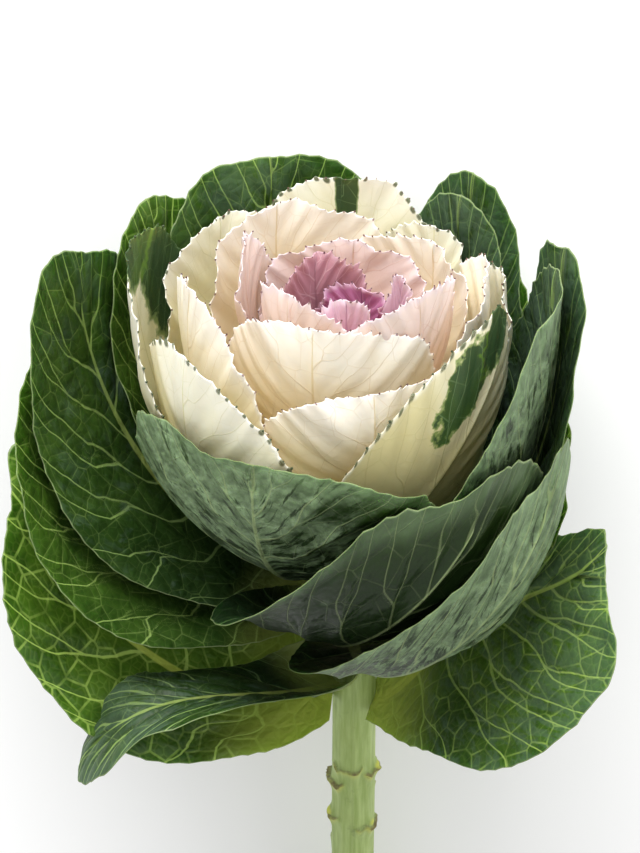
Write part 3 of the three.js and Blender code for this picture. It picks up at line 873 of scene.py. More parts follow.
def vein_group():
    """Side veins that fork on their way to the margin, and the net of finer veins between."""
    tree, given, out = open_group(
        "leaf_veins", ("Main", "Net", "Fine", "Pillow", "Rib"),
        {"Main Width": 0.9, "Net Width": 0.3, "Cell Length": 9.0, "Fork": 0.2, "Wander": 0.5,
         "Rib Width": 2.2})
    pitch, reach, share, seed = tree.fields("pitch", "reach", "share", "seed")
    plane = leaf_plane(tree)

    # The veins sway and kink on their way, less where they stand far apart.
    sway = tree.minus(tree.noise(plane, 0.05, 1.0), 0.5)
    kink = tree.minus(tree.noise(plane, 0.24, 1.0), 0.5)
    calm = tree.math("MINIMUM", tree.over(7.0, pitch), 1.0)
    bend = tree.times(tree.times_plus(kink, 0.14, sway), calm)
    vein = tree.times_plus(bend, given["Wander"], tree.field("vein"))

    # Each parts in two at its own share of the way to the margin, and thins out from the midrib.
    lot = tree.lot(tree.plus(tree.math("FLOOR", vein), tree.times(seed, 13.0)))
    start = tree.times_plus(lot, 0.4, 0.2)
    parting = tree.fade(reach, start, tree.plus(start, 0.3))
    beside = tree.math("ABSOLUTE", tree.minus(tree.math("FRACT", vein), 0.5))
    line = tree.math("ABSOLUTE", tree.minus(beside, tree.times(parting, given["Fork"])))
    away = tree.times(line, pitch)
    taper = tree.times_plus(tree.math("POWER", reach, 0.6), -0.68, 1.0)
    width = tree.times(given["Main Width"], taper)
    tree.feed(out["Main"], tree.near(away, tree.times(width, 0.3), tree.times(width, 0.75)))

    # The net is a coarse and a fine one, and both show more in some places than in others.
    thin = given["Net Width"]
    edge = cell_edge(tree, given["Cell Length"], 0.8)
    fine_edge = cell_edge(tree, tree.times(given["Cell Length"], 0.36), 0.95)
    shown = tree.fade(tree.noise(plane, 0.12, 1.0), 0.36, 0.6, 0.3, 0.9)
    net = tree.near(edge, tree.times(thin, 0.35), thin)
    fine = tree.near(fine_edge, tree.times(thin, 0.2), tree.times(thin, 0.75))
    tree.feed(out["Net"], tree.times(net, shown))
    tree.feed(out["Fine"], tree.times(fine, shown))

    # The blade bulges between its lines, and the midrib narrows towards the tip.
    hollow = tree.fade(tree.math("MINIMUM", away, edge), 0.0, 2.6)
    small_hollow = tree.fade(fine_edge, 0.0, 1.2)
    tree.feed(out["Pillow"], tree.times_plus(hollow, 0.75, tree.times(small_hollow, 0.25)))
    to_tip = tree.minus(1.06, share, clamp=True)
    rib_half = tree.times(given["Rib Width"], tree.math("POWER", to_tip, 1.1))
    middle = tree.math("ABSOLUTE", tree.field("across"))
    rib = tree.near(middle, tree.times(rib_half, 0.75), tree.times_plus(rib_half, 1.15, 0.15))
    tree.feed(out["Rib"], rib)
    return tree.tree


def bloom_group():
    """Waxy bloom in clouds, rubbed off in streaks that follow the side veins."""
    tree, given, out = open_group("wax_bloom", ("Wax", "Grain"),
                                  {"Amount": 0.5, "Cloud": 0.05, "Rub": 0.6})
    plane = leaf_plane(tree, 17.9)
    cloud = tree.noise(plane, given["Cloud"], 4.0, 0.6)
    low = tree.minus(0.82, given["Amount"])
    cloud = tree.fade(cloud, tree.minus(low, 0.12), tree.plus(low, 0.22))

    # Less is rubbed off near the tip.
    lanes = tree.times_plus(tree.field("vein"), 5.5, tree.noise(plane, 0.1, 1.0))
    streaks = tree.vector(lanes, tree.times(tree.field("run"), 0.09), tree.field("seed"))
    worn = tree.fade(tree.field("share"), 0.3, 0.95, 0.4, 0.54)
    rubbed = tree.fade(tree.noise(streaks, 1.0, 4.0, 0.7), worn, tree.plus(worn, 0.1))
    wax = tree.minus(cloud, tree.times(rubbed, given["Rub"]), clamp=True)
    grain = tree.noise(plane, 2.6, 3.0, 0.7)
    tree.feed(out["Wax"], tree.times(wax, tree.fade(grain, 0.25, 0.6, 0.72, 1.0)))
    tree.feed(out["Grain"], grain)
    return tree.tree


def tooth_group():
    """Spots at the tips of the marginal teeth, each of its own size."""
    tree, given, out = open_group("tooth_spots", ("Spot",),
                                  {"Size": 0.6, "Spacing": 3.0, "Share": 0.8, "Depth": 0.3})
    tooth, seed, margin = tree.fields("tooth", "seed", "margin")
    lot = tree.lot(tree.plus(tree.math("FLOOR", tooth), tree.times(seed, 31.0)))
    beside = tree.times(tree.minus(tree.math("FRACT", tooth), 0.5), given["Spacing"])
    away = tree.distance(beside, tree.minus(margin, given["Depth"]))
    size = tree.times(given["Size"], tree.times_plus(lot, 0.8, 0.5))
    spot = tree.near(away, tree.times(size, 0.7), tree.times(size, 1.25))

    # A second draw from the same lot tells which teeth have a spot.
    there = tree.math("LESS_THAN", tree.math("FRACT", tree.times(lot, 7.31)), given["Share"])
    tree.feed(out["Spot"], tree.times(spot, there))
    return tree.tree


def blotch_group():
    """One ragged patch on the blade, round a place given across and along it."""
    tree, given, out = open_group(
        "leaf_blotch", ("Patch",),
        {"Across": 0.0, "Share": 0.8, "Half Width": 10.0, "Half Share": 0.2, "Ragged": 0.6,
         "Grain": 0.14})
    across, share = tree.fields("across", "share")
    across = tree.over(tree.minus(across, given["Across"]), given["Half Width"])
    along = tree.over(tree.minus(share, given["Share"]), given["Half Share"])
    ragged = tree.minus(tree.noise(leaf_plane(tree, 5.1), given["Grain"], 3.0, 0.6), 0.5)
    ragged = tree.times(ragged, tree.times(given["Ragged"], 2.0))
    away = tree.plus(tree.distance(across, along), ragged)
    tree.feed(out["Patch"], tree.near(away, 0.88, 1.06))
    return tree.tree


def new_material(name):
    """A new material, its node tree and its shader."""
    material = bpy.data.materials.new(name)
    material.use_nodes = True
    return material, Tree(material.node_tree), material.node_tree.nodes["Principled BSDF"]


def raise_surface(tree, shader, height, strength, distance):
    """Bump from a height field, in which 1 stands for the distance in metres."""
    inputs = {"Height": height, "Strength": strength, "Distance": distance}
    tree.feed(shader.inputs["Normal"], tree.node("ShaderNodeBump", inputs).outputs[0])


def let_light_in(shader, weight, radius, scale):
    """Light that enters the flesh and leaves it a little way off, by colour."""
    for name, value in (("Weight", weight), ("Radius", radius), ("Scale", scale)):
        shader.inputs["Subsurface " + name].default_value = value


def leaf_height(tree, veins, raised, puff):
    """The relief of the veins: raised on an underside, sunk between pillows on an upper side."""
    net = tree.times_plus(veins["Main"], 0.7, tree.times(veins["Net"], 0.3))
    return tree.times_plus(net, raised, tree.times(veins["Pillow"], puff))


def by_age(tree, young, grown, tender):
    """One value for grown leaves, which passes to another for the youngest."""
    return tree.fade(young, 0.5, 1.0, grown, tender)


def green_upper(tree, colours, veins, young, fresh_and_lit, patchy, mottle):
    """The upper side: deep green with lighter patches, pale veins and a paler net."""
    # Deep to fresh green with youth, and with painted light towards the tip.
    deep = tree.mix(fresh_and_lit, colours.deep_green, colours.fresh_green)
    light = tree.mix(fresh_and_lit, colours.blue_green, colours.lime)
    pale = tree.mix(fresh_and_lit, colours.vein, colours.lime_vein)
    # Lime near the midrib of young blades: painted light shining through them.
    sunlit = tree.times(tree.fade(young, 0.6, 1.0, 0.0, 0.35),
                        tree.near(tree.field("reach"), 0.0, 0.55))
    top = tree.layers(
        deep,
        (tree.fade(patchy, 0.35, 0.7, 0.0, 0.4), light),
        (tree.fade(mottle, 0.4, 0.75, 0.0, 0.2), light),
        (sunlit, colours.lime),
        (tree.times(veins["Fine"], 0.12), pale),
        (tree.times(veins["Net"], by_age(tree, young, 0.3, 0.6)), pale),
        (tree.times(veins["Main"], 0.85), pale))
    return top, pale


def green_under(tree, colours, veins, wax, amount, young, fresh_and_lit, patchy, mottle):
    """The underside: dull green with painted light along its margin and, on young blades, painted
    light shining through, below its wax, and raised veins.
    """
    margin = tree.field("margin")
    # Lime near the margin of young blades: painted light shining through them.
    glow = tree.times(tree.near(margin, 0.0, 16.0, 0.5),
                      tree.times(tree.fade(patchy, 0.3, 0.6), young))
    # A pale band of painted light along the rolled margin, in the bloom's colour.
    painted_margin_light = tree.times(tree.near(margin, 0.5, 7.0, 0.38),
                     tree.times(tree.fade(patchy, 0.3, 0.6, 0.5, 1.0), tree.minus(1.0, young)))
    coat = tree.times(wax["Wax"], tree.fade(mottle, 0.35, 0.65, 0.6, 1.0))
    coat = tree.times(coat, tree.fade(veins["Pillow"], 0.1, 0.7, 1.0, 0.72))
    seen = tree.fade(amount, 0.0, 1.0, 0.3, 0.65)
    return tree.layers(
        colours.under_green,
        # Fresh green with youth, and with painted light towards the tip.
        (tree.times(fresh_and_lit, 0.6), colours.fresh_green),
        (glow, colours.lime),
        (painted_margin_light, colours.bloom),
        (coat, colours.bloom),
        (tree.times(veins["Net"], tree.times(seen, 0.35)), colours.under_vein),
        (tree.times(veins["Main"], seen), colours.under_vein))


def green_material():
    """Green leaves: deep above with pale veins, glaucous and waxy below."""
    colours = bpy.context.scene.cabbage_colours
    material, tree, shader = new_material("green_leaf")
    upper, share, young, under_bloom_and_shade = tree.fields("upper", "share", "young", "under_bloom_and_shade")
    veins = tree.group(GROUPS["veins"], Main_Width=by_age(tree, young, 0.95, 1.25),
                       Net_Width=by_age(tree, young, 0.28, 0.55),
                       Cell_Length=by_age(tree, young, 9.5, 8.0))
    # How fresh the green is: the leaf's youth, plus painted light that makes the blade lighter and
    # yellower towards its tip.
    fresh_and_lit = tree.times_plus(tree.minus(share, 0.6), 0.6, young, clamp=True)
    plane = leaf_plane(tree)
    patchy = tree.noise(plane, 0.06, 3.0, 0.6)
    mottle = tree.noise(plane, 0.35, 3.0, 0.6)
    # The bloom also paints shade: less of it leaves a side darker.
    amount = tree.minus(tree.field("bloom"), under_bloom_and_shade)
    amount = tree.times_plus(upper, amount, under_bloom_and_shade)
    wax = tree.group(GROUPS["bloom"], Amount=amount, Cloud=0.05, Rub=0.88)

    top, pale = green_upper(tree, colours, veins, young, fresh_and_lit, patchy, mottle)
    top = tree.mix(tree.times(wax["Wax"], 0.4), top, colours.upper_bloom)
    low = green_under(tree, colours, veins, wax, amount, young, fresh_and_lit, patchy, mottle)
    pale_rib = tree.mix(young, colours.rib, colours.lime_rib)
    rib = tree.mix(tree.fade(share, 0.3, 0.9), pale_rib, pale)
    rib = tree.mix(upper, colours.under_vein, rib)
    blade = tree.layers(
        low,
        (upper, top),
        (tree.times(veins["Rib"], tree.fade(upper, 0, 1, 0.6, 0.85)), rib),
        # The pale foot, lime on young blades, reaches higher on them: their colour, and painted
        # light shining through them.
        (tree.near(share, 0.02, by_age(tree, young, 0.2, 0.34), 0.85), pale_rib),
        (tree.near(tree.field("margin"), 0.05, 0.3, 0.6), colours.under_vein))
    tree.feed(shader.inputs["Base Color"], blade)

    dull = tree.fade(tree.times(wax["Wax"], 0.8), 0.0, 0.7, 0.34, 0.55)
    tree.feed(shader.inputs["Roughness"], tree.times_plus(wax["Grain"], 0.16, dull))
    height = leaf_height(tree, veins, tree.fade(upper, 0, 1, 0.9, -0.2), 0.6)
    height = tree.times_plus(wax["Grain"], 0.1, height)
    dents = tree.times(tree.noise(plane, 0.14, 2.0), tree.fade(upper, 0, 1, 3.5, 1.5))
    raise_surface(tree, shader, tree.plus(height, dents), 0.6, 0.9 * MM)
    let_light_in(shader, 0.2, (0.6, 1.0, 0.25), 2 * MM)
    shader.inputs["Specular IOR Level"].default_value = 0.3
    return material


def add_patches(tree, colours, veins, cloud, blade, patches):
    """Green patches over a pale blade, with pale veins and a lime edge."""
    for patch in patches:
        there = tree.group(GROUPS["blotch"], **patch)["Patch"]
        lines = tree.math("MAXIMUM", veins["Net"], veins["Main"])
        edge = tree.times(there, tree.minus(1.0, there))
        green = tree.layers(
            colours.patch,
            (tree.fade(cloud, 0.4, 0.8, 0.0, 0.4), colours.lime),
            (tree.times(lines, 0.7), colours.vein))
        blade = tree.layers(blade, (there, green), (tree.times(edge, 2.4), colours.lime))
    return blade


def pale_material(name, kind, tones, spot, spot_size, spot_share, vein_strength=0.4, patches=()):
    """Cream, pink and purple leaves: colour rises from the foot to a toothed, spotted rim."""
    colours = bpy.context.scene.cabbage_colours
    material, tree, shader = new_material(name)
    veins = tree.group(GROUPS["veins"], Main_Width=0.55, Net_Width=0.22, Cell_Length=8.0,
                       Rib_Width=1.2)
    share, margin, upper = tree.fields("share", "margin", "upper")
    plane = leaf_plane(tree)
    cloud = tree.noise(plane, 0.06, 3.0, 0.55)
    rise = tree.plus(share, tree.times(tree.minus(cloud, 0.5), 0.3))
    blade = tree.layers(
        tones["foot"],
        (tree.fade(share, 0.3, 0.62), tones["body"]),
        (tree.fade(rise, 0.66, 0.95), tones["rim"]),
        (tree.times(veins["Net"], 0.5 * vein_strength), tones["vein"]),
        (tree.times(veins["Main"], 0.8 * vein_strength), tones["vein"]),
        (tree.times(veins["Rib"], 0.5), tones["foot"]),
        (tree.near(margin, 0.3, 1.6, 0.6), tones["edge"]))
    blade = add_patches(tree, colours, veins, cloud, blade, patches)
    dots = tree.group(GROUPS["teeth"], Size=spot_size, Spacing=HABITS[kind]["tooth"],
                      Share=spot_share, Depth=spot_size * 0.3)["Spot"]
    tree.feed(shader.inputs["Base Color"], tree.mix(tree.times(dots, 0.9), blade, spot))

    grain = tree.noise(plane, 1.8, 3.0, 0.65)
    tree.feed(shader.inputs["Roughness"], tree.fade(grain, 0.2, 0.8, 0.44, 0.62))
    height = leaf_height(tree, veins, tree.fade(upper, 0, 1, 0.4, 0.2), 0.15)
    lanes = tree.vector(tree.times(tree.field("vein"), 3.0), tree.times(tree.field("run"), 0.03),
                        tree.field("seed"))
    height = tree.times_plus(tree.noise(lanes, 1.0, 1.0), 0.8, height)
    raise_surface(tree, shader, tree.times_plus(grain, 0.08, height), 0.5, 0.8 * MM)
    let_light_in(shader, 0.3, (1.0, 0.8, 0.6), 3 * MM)
    shader.inputs["Specular IOR Level"].default_value = 0.4
    return material


def stem_material():
    """Pale green skin with fibres, blanched at the neck, beige where leaves have fallen."""
    colours = bpy.context.scene.cabbage_colours
    material, tree, shader = new_material("stem_skin")
    turn, height, cushion, lip, bud = tree.fields("turn", "height", "cushion", "lip", "bud")
    place = tree.place()
    grain = tree.noise(tree.vector(tree.times(turn, 26.0), tree.times(height, 0.05)), 1.0, 4.0, 0.6)
    cloud = tree.noise(place, 60.0, 4.0, 0.6)
    stain = tree.noise(place, 110.0, 4.0, 0.65)
    spots = tree.noise(place, 330.0, 3.0, 0.6)
    torn = tree.fade(lip, 0.25, 0.8)

    wood = tree.fade(tree.field("radius"), 0.72, 0.86)
    cut = tree.mix(wood, colours.pith, colours.stem_light)
    skin = tree.layers(
        colours.stem,
        (tree.fade(grain, 0.3, 0.7), colours.stem_light),
        (tree.fade(cloud, 0.45, 0.75, 0.0, 0.5), colours.rib),
        (tree.times(tree.fade(height, -34.0, -8.0), 0.8), colours.neck),
        (tree.fade(stain, 0.58, 0.78, 0.0, 0.55), colours.stain),
        (tree.fade(cushion, 0.2, 1.0, 0.0, 0.7), colours.scar),
        (tree.times(torn, tree.fade(spots, 0.3, 0.62, 0.25, 0.9)), colours.scar_dark),
        (tree.times(tree.fade(cushion, 0.3, 0.9), tree.fade(spots, 0.56, 0.68, 0.0, 0.7)),
         colours.scar_dark),
        (tree.fade(bud, 0.3, 0.9, 0.0, 0.8), colours.bud),
        (tree.field("cut"), cut))
    tree.feed(shader.inputs["Base Color"], skin)
    tree.feed(shader.inputs["Roughness"], tree.fade(cloud, 0.3, 0.7, 0.42, 0.62))
    relief = tree.times_plus(grain, 0.4, tree.times(cloud, 0.6))
    relief = tree.times_plus(tree.times(spots, torn), 0.8, relief)
    raise_surface(tree, shader, relief, 0.5, 0.8 * MM)
    let_light_in(shader, 0.3, (1.0, 1.0, 0.5), 3 * MM)
    return material


def gland_material(name, colour):
    """Glands: waxy beads, mottled between their colour and a darker one."""
    material, tree, shader = new_material(name)
    cloud = tree.noise(tree.place(), 300.0, 2.0)
    dark = tuple(channel * 0.55 for channel in colour)
    tree.feed(shader.inputs["Base Color"], tree.mix(cloud, dark, colour))
    tree.feed(shader.inputs["Roughness"], tree.fade(cloud, 0.3, 0.7, 0.35, 0.55))
    return material


def floor_material():
    """A plain matt floor."""
    material, _, shader = new_material("pale_floor")
    tint = bpy.context.scene.cabbage_stage.floor_colour
    shader.inputs["Base Color"].default_value = opaque(tint)
    shader.inputs["Roughness"].default_value = 0.8
    return material


def srgb(red, green, blue):
    """A linear colour from 0 to 255 values, as a paint chart gives them."""
    return tuple((c / 255 / 12.92) if c <= 10 else ((c / 255 + 0.055) / 1.055) ** 2.4
                 for c in (red, green, blue))


def paint(name, description, *chart_values):
    """A colour that a user may change."""
    return FloatVectorProperty(name=name, description=description, subtype="COLOR",
                               default=srgb(*chart_values))


class CabbageColours(bpy.types.PropertyGroup):
    """The plant's colours."""

    deep_green: paint("Deep Green", "Upper side in shade", 19, 39, 15)
    blue_green: paint("Blue Green", "Cooler patches above", 34, 56, 36)
    fresh_green: paint("Fresh Green", "Upper side of young blades", 44, 74, 11)
    patch: paint("Patch", "Green patches on pale leaves", 46, 72, 38)
    lime: paint("Lime", "Where light comes through", 100, 138, 36)
    under_green: paint("Under Green", "Underside below the wax", 23, 37, 16)
    # Bloom is also the colour of the painted light along the underside's margin.
    bloom: paint("Bloom", "Waxy coat of the underside", 131, 155, 115)
    upper_bloom: paint("Upper Bloom", "Thin wax of the upper side", 84, 106, 92)
    under_vein: paint("Under Vein", "Raised veins below, margins", 146, 162, 112)
    vein: paint("Vein", "Veins of the deep green leaves", 104, 130, 84)
    lime_vein: paint("Lime Vein", "Veins of the fresh leaves", 170, 196, 96)
    rib: paint("Rib", "Midribs and leaf feet", 150, 166, 96)
    lime_rib: paint("Lime Rib", "Midribs of the fresh leaves", 186, 200, 84)
    stem: paint("Stem", "Skin of the stem", 140, 162, 84)
    stem_light: paint("Stem Light", "Paler fibres of the stem", 168, 188, 116)
    neck: paint("Neck", "Blanched stem under the head", 226, 208, 192)
    stain: paint("Stain", "Darker stains on the stem", 96, 112, 54)
    scar: paint("Scar", "Cushions under the leaf scars", 186, 190, 88)
    bud: paint("Bud", "Small buds above the scars", 200, 202, 70)
    scar_dark: paint("Scar Lip", "Dry lip of a scar", 104, 92, 52)
    pith: paint("Pith", "Cut end of the stem", 228, 232, 204)


class CabbageStage(bpy.types.PropertyGroup):
    """Floor, light and camera."""

    floor_colour: FloatVectorProperty(name="Floor", description="Colour of the floor",
                                      subtype="COLOR", default=(0.98, 0.98, 0.98))
    key_power: FloatProperty(name="Key", description="Main soft light", unit="POWER",
                             default=24.0, min=0.0)
    fill_power: FloatProperty(name="Fill", description="Soft light from the other side",
                              unit="POWER", default=4.0, min=0.0)
    sky: FloatProperty(name="Sky", description="Even light from all round", default=0.73, min=0.0)
    distance: FloatProperty(name="Distance", description="Camera to plant", unit="LENGTH",
                            default=0.9, min=0.1)
    elevation: FloatProperty(name="Elevation", description="Camera over the upright plant's base",
                             subtype="ANGLE", default=math.radians(35))
    lens: FloatProperty(name="Lens", description="Focal length over a 36 mm wide picture",
                        default=151.875, min=10.0)


def pale_tones(foot, body, rim, edge, vein):
    """A pale leaf's colours from foot to rim, that of its very edge and that of its veins."""
    return dict(foot=srgb(*foot), body=srgb(*body), rim=srgb(*rim), edge=srgb(*edge),
                vein=srgb(*vein))


PALETTE = {
    "heart_leaf_1": pale_tones((94, 34, 64), (150, 82, 114), (176, 110, 146), (224, 190, 206),
                               (196, 144, 170)),
    "heart_leaf_2": pale_tones((140, 78, 110), (192, 142, 166), (212, 176, 194), (232, 214, 222),
                               (218, 186, 200)),
    "heart_leaf_3": pale_tones((134, 86, 98), (164, 116, 126), (180, 132, 144), (200, 160, 172),
                               (210, 176, 182)),
    "heart_leaf_4": pale_tones((160, 104, 126), (200, 156, 172), (214, 178, 192), (228, 206, 214),
                               (222, 190, 202)),
    "pink": pale_tones((216, 182, 146), (230, 204, 188), (234, 212, 204), (230, 210, 216),
                       (212, 172, 158)),
    "cream": pale_tones((212, 188, 126), (240, 224, 188), (248, 238, 220), (248, 240, 230),
                        (216, 188, 144)),
    "shaded": pale_tones((172, 164, 92), (208, 198, 146), (228, 222, 190), (238, 234, 214),
                         (186, 178, 118)),
    "outer": pale_tones((198, 192, 120), (234, 226, 182), (242, 238, 216), (244, 242, 228),
                        (206, 200, 146)),
}
PURPLE_SPOT = srgb(96, 52, 66)
GREEN_SPOT = srgb(40, 66, 26)

# Green patches on the outer head leaves, as places across (mm) and along (share) the blade.
PATCHES = {
    "cream_leaf_8": [dict(Across=-2, Share=0.98, Half_Width=3.9, Half_Share=0.2, Ragged=0.2)],
    "variegated_leaf_1": [
        dict(Across=-11, Share=0.84, Half_Width=7.5, Half_Share=0.12, Ragged=0.6, Grain=0.2),
        dict(Across=-5, Share=0.99, Half_Width=9, Half_Share=0.12, Ragged=0.5, Grain=0.2)],
    "variegated_leaf_3": [
        dict(Across=-30, Share=0.95, Half_Width=25, Half_Share=0.32, Ragged=0.3),
        dict(Across=-2, Share=1.03, Half_Width=17, Half_Share=0.16, Ragged=0.3)],
}

# Glands at the tips of the teeth: their radius in millimetres, the share of teeth that have
# one, and their colour. Each differs in size between two shares of its radius, and the foot of a
# leaf has none. Then what scatters the teeth without one, and the least share of the way to the
# margin and the greatest part of a tooth beside its middle at which a point is its tip.
GLANDS = {
    "heart": dict(radius=0.26, share=0.7, colour=srgb(104, 60, 74)),
    "pink": dict(radius=0.28, share=0.6, colour=srgb(116, 74, 70)),
    "cream": dict(radius=0.3, share=0.6, colour=srgb(106, 70, 58)),
    "variegated": dict(radius=0.4, share=0.6, colour=srgb(58, 74, 34)),
}
GLAND_SMALLEST = 0.6
GLAND_LARGEST = 1.3
GLAND_SEED = 7
GLAND_FREE_FOOT = 0.3
GLAND_SCATTER = 3.1
TIP_REACH = 0.99
TIP_BESIDE = 0.01


def dress_green(mesh, young, bloom, left_bloom_and_shade, right_bloom_and_shade):
    """The fields that tell one green leaf's finish from another's."""
    to_right = 0.5 + 0.5 * np.clip(read_field(mesh, "beside"), -1, 1)
    count = len(mesh.vertices)
    add_field(mesh, "young", np.full(count, young))
    add_field(mesh, "bloom", np.full(count, bloom))
    # The underside's bloom and painted shade run from the left value to the right one.
    add_field(mesh, "under_bloom_and_shade", left_bloom_and_shade + (right_bloom_and_shade - left_bloom_and_shade) * to_right)


def leaf_names(kind):
    """The names of all leaves of one kind."""
    return [form["name"] for form in LEAVES if form["kind"] == kind]


def make_leaves(kind, finishes, plain=None):
    """Builds the leaves of one kind, each with its finish by name, or else the plain one."""
    for form in LEAVES:
        if form["kind"] == kind:
            name = form["name"]
            mesh = leaf_mesh(name, form)
            if name in GREENS:
                dress_green(mesh, *GREENS[name])
            add_piece(name + "_blade", mesh, finishes.get(name, plain), HABITS[kind]["slot"], name)


def gland_tree(material, settings):
    """Geometry Nodes: a small ball at every point, each of its own size."""
    tree = bpy.data.node_groups.new("tooth_glands", "GeometryNodeTree")
    tree.interface.new_socket("Points", in_out="INPUT", socket_type="NodeSocketGeometry")
    for label, value in settings.items():
        kind = "NodeSocketInt" if isinstance(value, int) else FLOAT
        socket = tree.interface.new_socket(label, in_out="INPUT", socket_type=kind)
        socket.default_value = value
    tree.interface.new_socket("Glands", in_out="OUTPUT", socket_type="NodeSocketGeometry")
    build = Tree(tree)
    given = tree.nodes.new("NodeGroupInput").outputs
    ball = build.node("GeometryNodeMeshIcoSphere", {"Radius": given["Radius"]}).outputs["Mesh"]
    size = build.node("FunctionNodeRandomValue", {2: given["Smallest"], 3: given["Largest"],
                                                  "Seed": given["Seed"]}, data_type="FLOAT")
    placed = build.node("GeometryNodeInstanceOnPoints",
                        {"Points": given["Points"], "Instance": ball, "Scale": size.outputs[1]})
    real = build.node("GeometryNodeRealizeInstances", {"Geometry": placed.outputs[0]})
    rounded = build.node("GeometryNodeSetShadeSmooth", {"Geometry": real.outputs[0]})
    done = build.node("GeometryNodeSetMaterial", {"Geometry": rounded.outputs[0],
                                                  "Material": material})
    build.feed(tree.nodes.new("NodeGroupOutput").inputs["Glands"], done.outputs[0])
    return tree


def tooth_tips(mesh, gland_share):
    """The tips of a leaf's teeth, without those that have no gland."""
    tooth, reach, upper, seed, share = (
        read_field(mesh, key) for key in ("tooth", "reach", "upper", "seed", "share"))
    at_rim = (reach > TIP_REACH) & (upper > 0.5) & (share > GLAND_FREE_FOOT)
    at_tip = np.abs(tooth % 1 - 0.5) < TIP_BESIDE
    given = chance(tooth * GLAND_SCATTER, 1.0 + seed) < gland_share
    places = np.array([tuple(vertex.co) for vertex in mesh.vertices])
    return places[at_rim & at_tip & given]


def make_glands(kind, radius, share, colour):
    """Balls at the tips of the teeth of one kind of leaf, as one piece."""
    tips = np.concatenate([tooth_tips(bpy.data.objects[name + "_blade"].data, share)
                           for name in leaf_names(kind)])
    points = bpy.data.meshes.new(kind + "_tips")
    points.from_pydata(tips.tolist(), [], [])
    carrier = add_object(kind + "_tips", points)
    settings = {"Radius": radius * MM, "Smallest": GLAND_SMALLEST, "Largest": GLAND_LARGEST,
                "Seed": GLAND_SEED}
    modifier = carrier.modifiers.new("glands", "NODES")
    modifier.node_group = gland_tree(gland_material(kind + "_gland", colour), settings)
    for socket in modifier.node_group.interface.items_tree:
        if socket.name in settings:
            modifier[socket.identifier] = settings[socket.name]
    graph = bpy.context.evaluated_depsgraph_get()
    mesh = bpy.data.meshes.new_from_object(carrier.evaluated_get(graph))
    bpy.data.objects.remove(carrier)
    add_piece(kind + "_glands", mesh, None, HABITS[kind]["slot"])


class CABBAGE_OT_heart_leaves(bpy.types.Operator):
    """Adds the purple leaves of the heart"""

    bl_idname = "cabbage.heart_leaves"
    bl_label = "Heart Leaves"

    def execute(self, context):
        make_leaves("heart", {
            name: pale_material(name + "_finish", "heart", PALETTE[name], PURPLE_SPOT, 0.3, 0.7,
                                vein_strength=0.7)
            for name in leaf_names("heart")})
        return {"FINISHED"}


class CABBAGE_OT_inner_leaves(bpy.types.Operator):
    """Adds the pink leaves round the heart"""

    bl_idname = "cabbage.inner_leaves"
    bl_label = "Inner Leaves"

    def execute(self, context):
        make_leaves("pink", {}, pale_material("inner_leaf", "pink", PALETTE["pink"], PURPLE_SPOT,
                                              0.3, 0.6, vein_strength=0.5))
        return {"FINISHED"}


class CABBAGE_OT_cream_leaves(bpy.types.Operator):
    """Adds the cream leaves of the head"""

    bl_idname = "cabbage.cream_leaves"
    bl_label = "Cream Leaves"

    def execute(self, context):
        plain = pale_material("cream_leaf", "cream", PALETTE["cream"], PURPLE_SPOT, 0.3, 0.6)
        dotted = pale_material("dotted_cream_leaf", "cream", PALETTE["outer"], GREEN_SPOT,
                               0.75, 0.6)
        striped = pale_material("striped_cream_leaf", "cream", PALETTE["outer"], GREEN_SPOT,
                                1.1, 0.45, patches=PATCHES["cream_leaf_8"])
        make_leaves("cream", {"cream_leaf_7": dotted, "cream_leaf_8": striped,
                              "cream_leaf_9": dotted, "cream_leaf_10": dotted}, plain)
        return {"FINISHED"}


class CABBAGE_OT_variegated_leaves(bpy.types.Operator):
    """Adds the cream leaves that are marked with green"""

    bl_idname = "cabbage.variegated_leaves"
    bl_label = "Variegated Leaves"

    def execute(self, context):
        shades = {"variegated_leaf_1": "shaded"}
        make_leaves("variegated", {
            name: pale_material(name + "_finish", "variegated", PALETTE[shades.get(name, "outer")],
                                GREEN_SPOT, 0.9, 0.75, patches=PATCHES.get(name, ()))
            for name in leaf_names("variegated")})
        return {"FINISHED"}


class CABBAGE_OT_green_leaves(bpy.types.Operator):
    """Adds the green outer leaves"""

    bl_idname = "cabbage.green_leaves"
    bl_label = "Green Leaves"

    def execute(self, context):
        make_leaves("green", {}, green_material())
        return {"FINISHED"}


class CABBAGE_OT_glands(bpy.types.Operator):
    """Adds the dark glands at the tips of the pale leaves' teeth"""

    bl_idname = "cabbage.glands"
    bl_label = "Margin Glands"

    def execute(self, context):
        for kind, gland in GLANDS.items():
            make_glands(kind, **gland)
        return {"FINISHED"}


class CABBAGE_OT_stem(bpy.types.Operator):
    """Adds the stem with its leaf scars and its cut end"""

    bl_idname = "cabbage.stem"
    bl_label = "Stem"

    def execute(self, context):
        add_piece("stem_piece", stem_mesh(), stem_material(), "stem", "stem")
        return {"FINISHED"}


# The stage, in metres: half the floor's side, and where the camera aims, to the right of the base
# of the head and above it as the camera sees it. Each light has its size, and its direction as
# parts to the right, up and towards the camera.
FLOOR_HALF = 3.0
AIM_RIGHT = -0.0067
AIM_UP = 0.0478
PICTURE_WIDTH = 36
LIGHT_DISTANCE = 1.3
KEY_LIGHT = dict(name="key_light", size=0.9, direction=(-0.15, 0.85, 0.85))
FILL_LIGHT = dict(name="fill_light", size=1.2, direction=(0.9, 0.1, 0.7))


def add_light(name, size, direction, power, aim, axes):
    """A square soft light that looks at the aim."""
    data = bpy.data.lights.new(name, "AREA")
    data.energy = power
    data.size = size
    toward = sum((axis * part for axis, part in zip(axes, direction)), Vector())
    lamp = add_object(name, data)
    lamp.location = aim + toward.normalized() * LIGHT_DISTANCE
    lamp.rotation_euler = toward.to_track_quat("Z", "Y").to_euler()


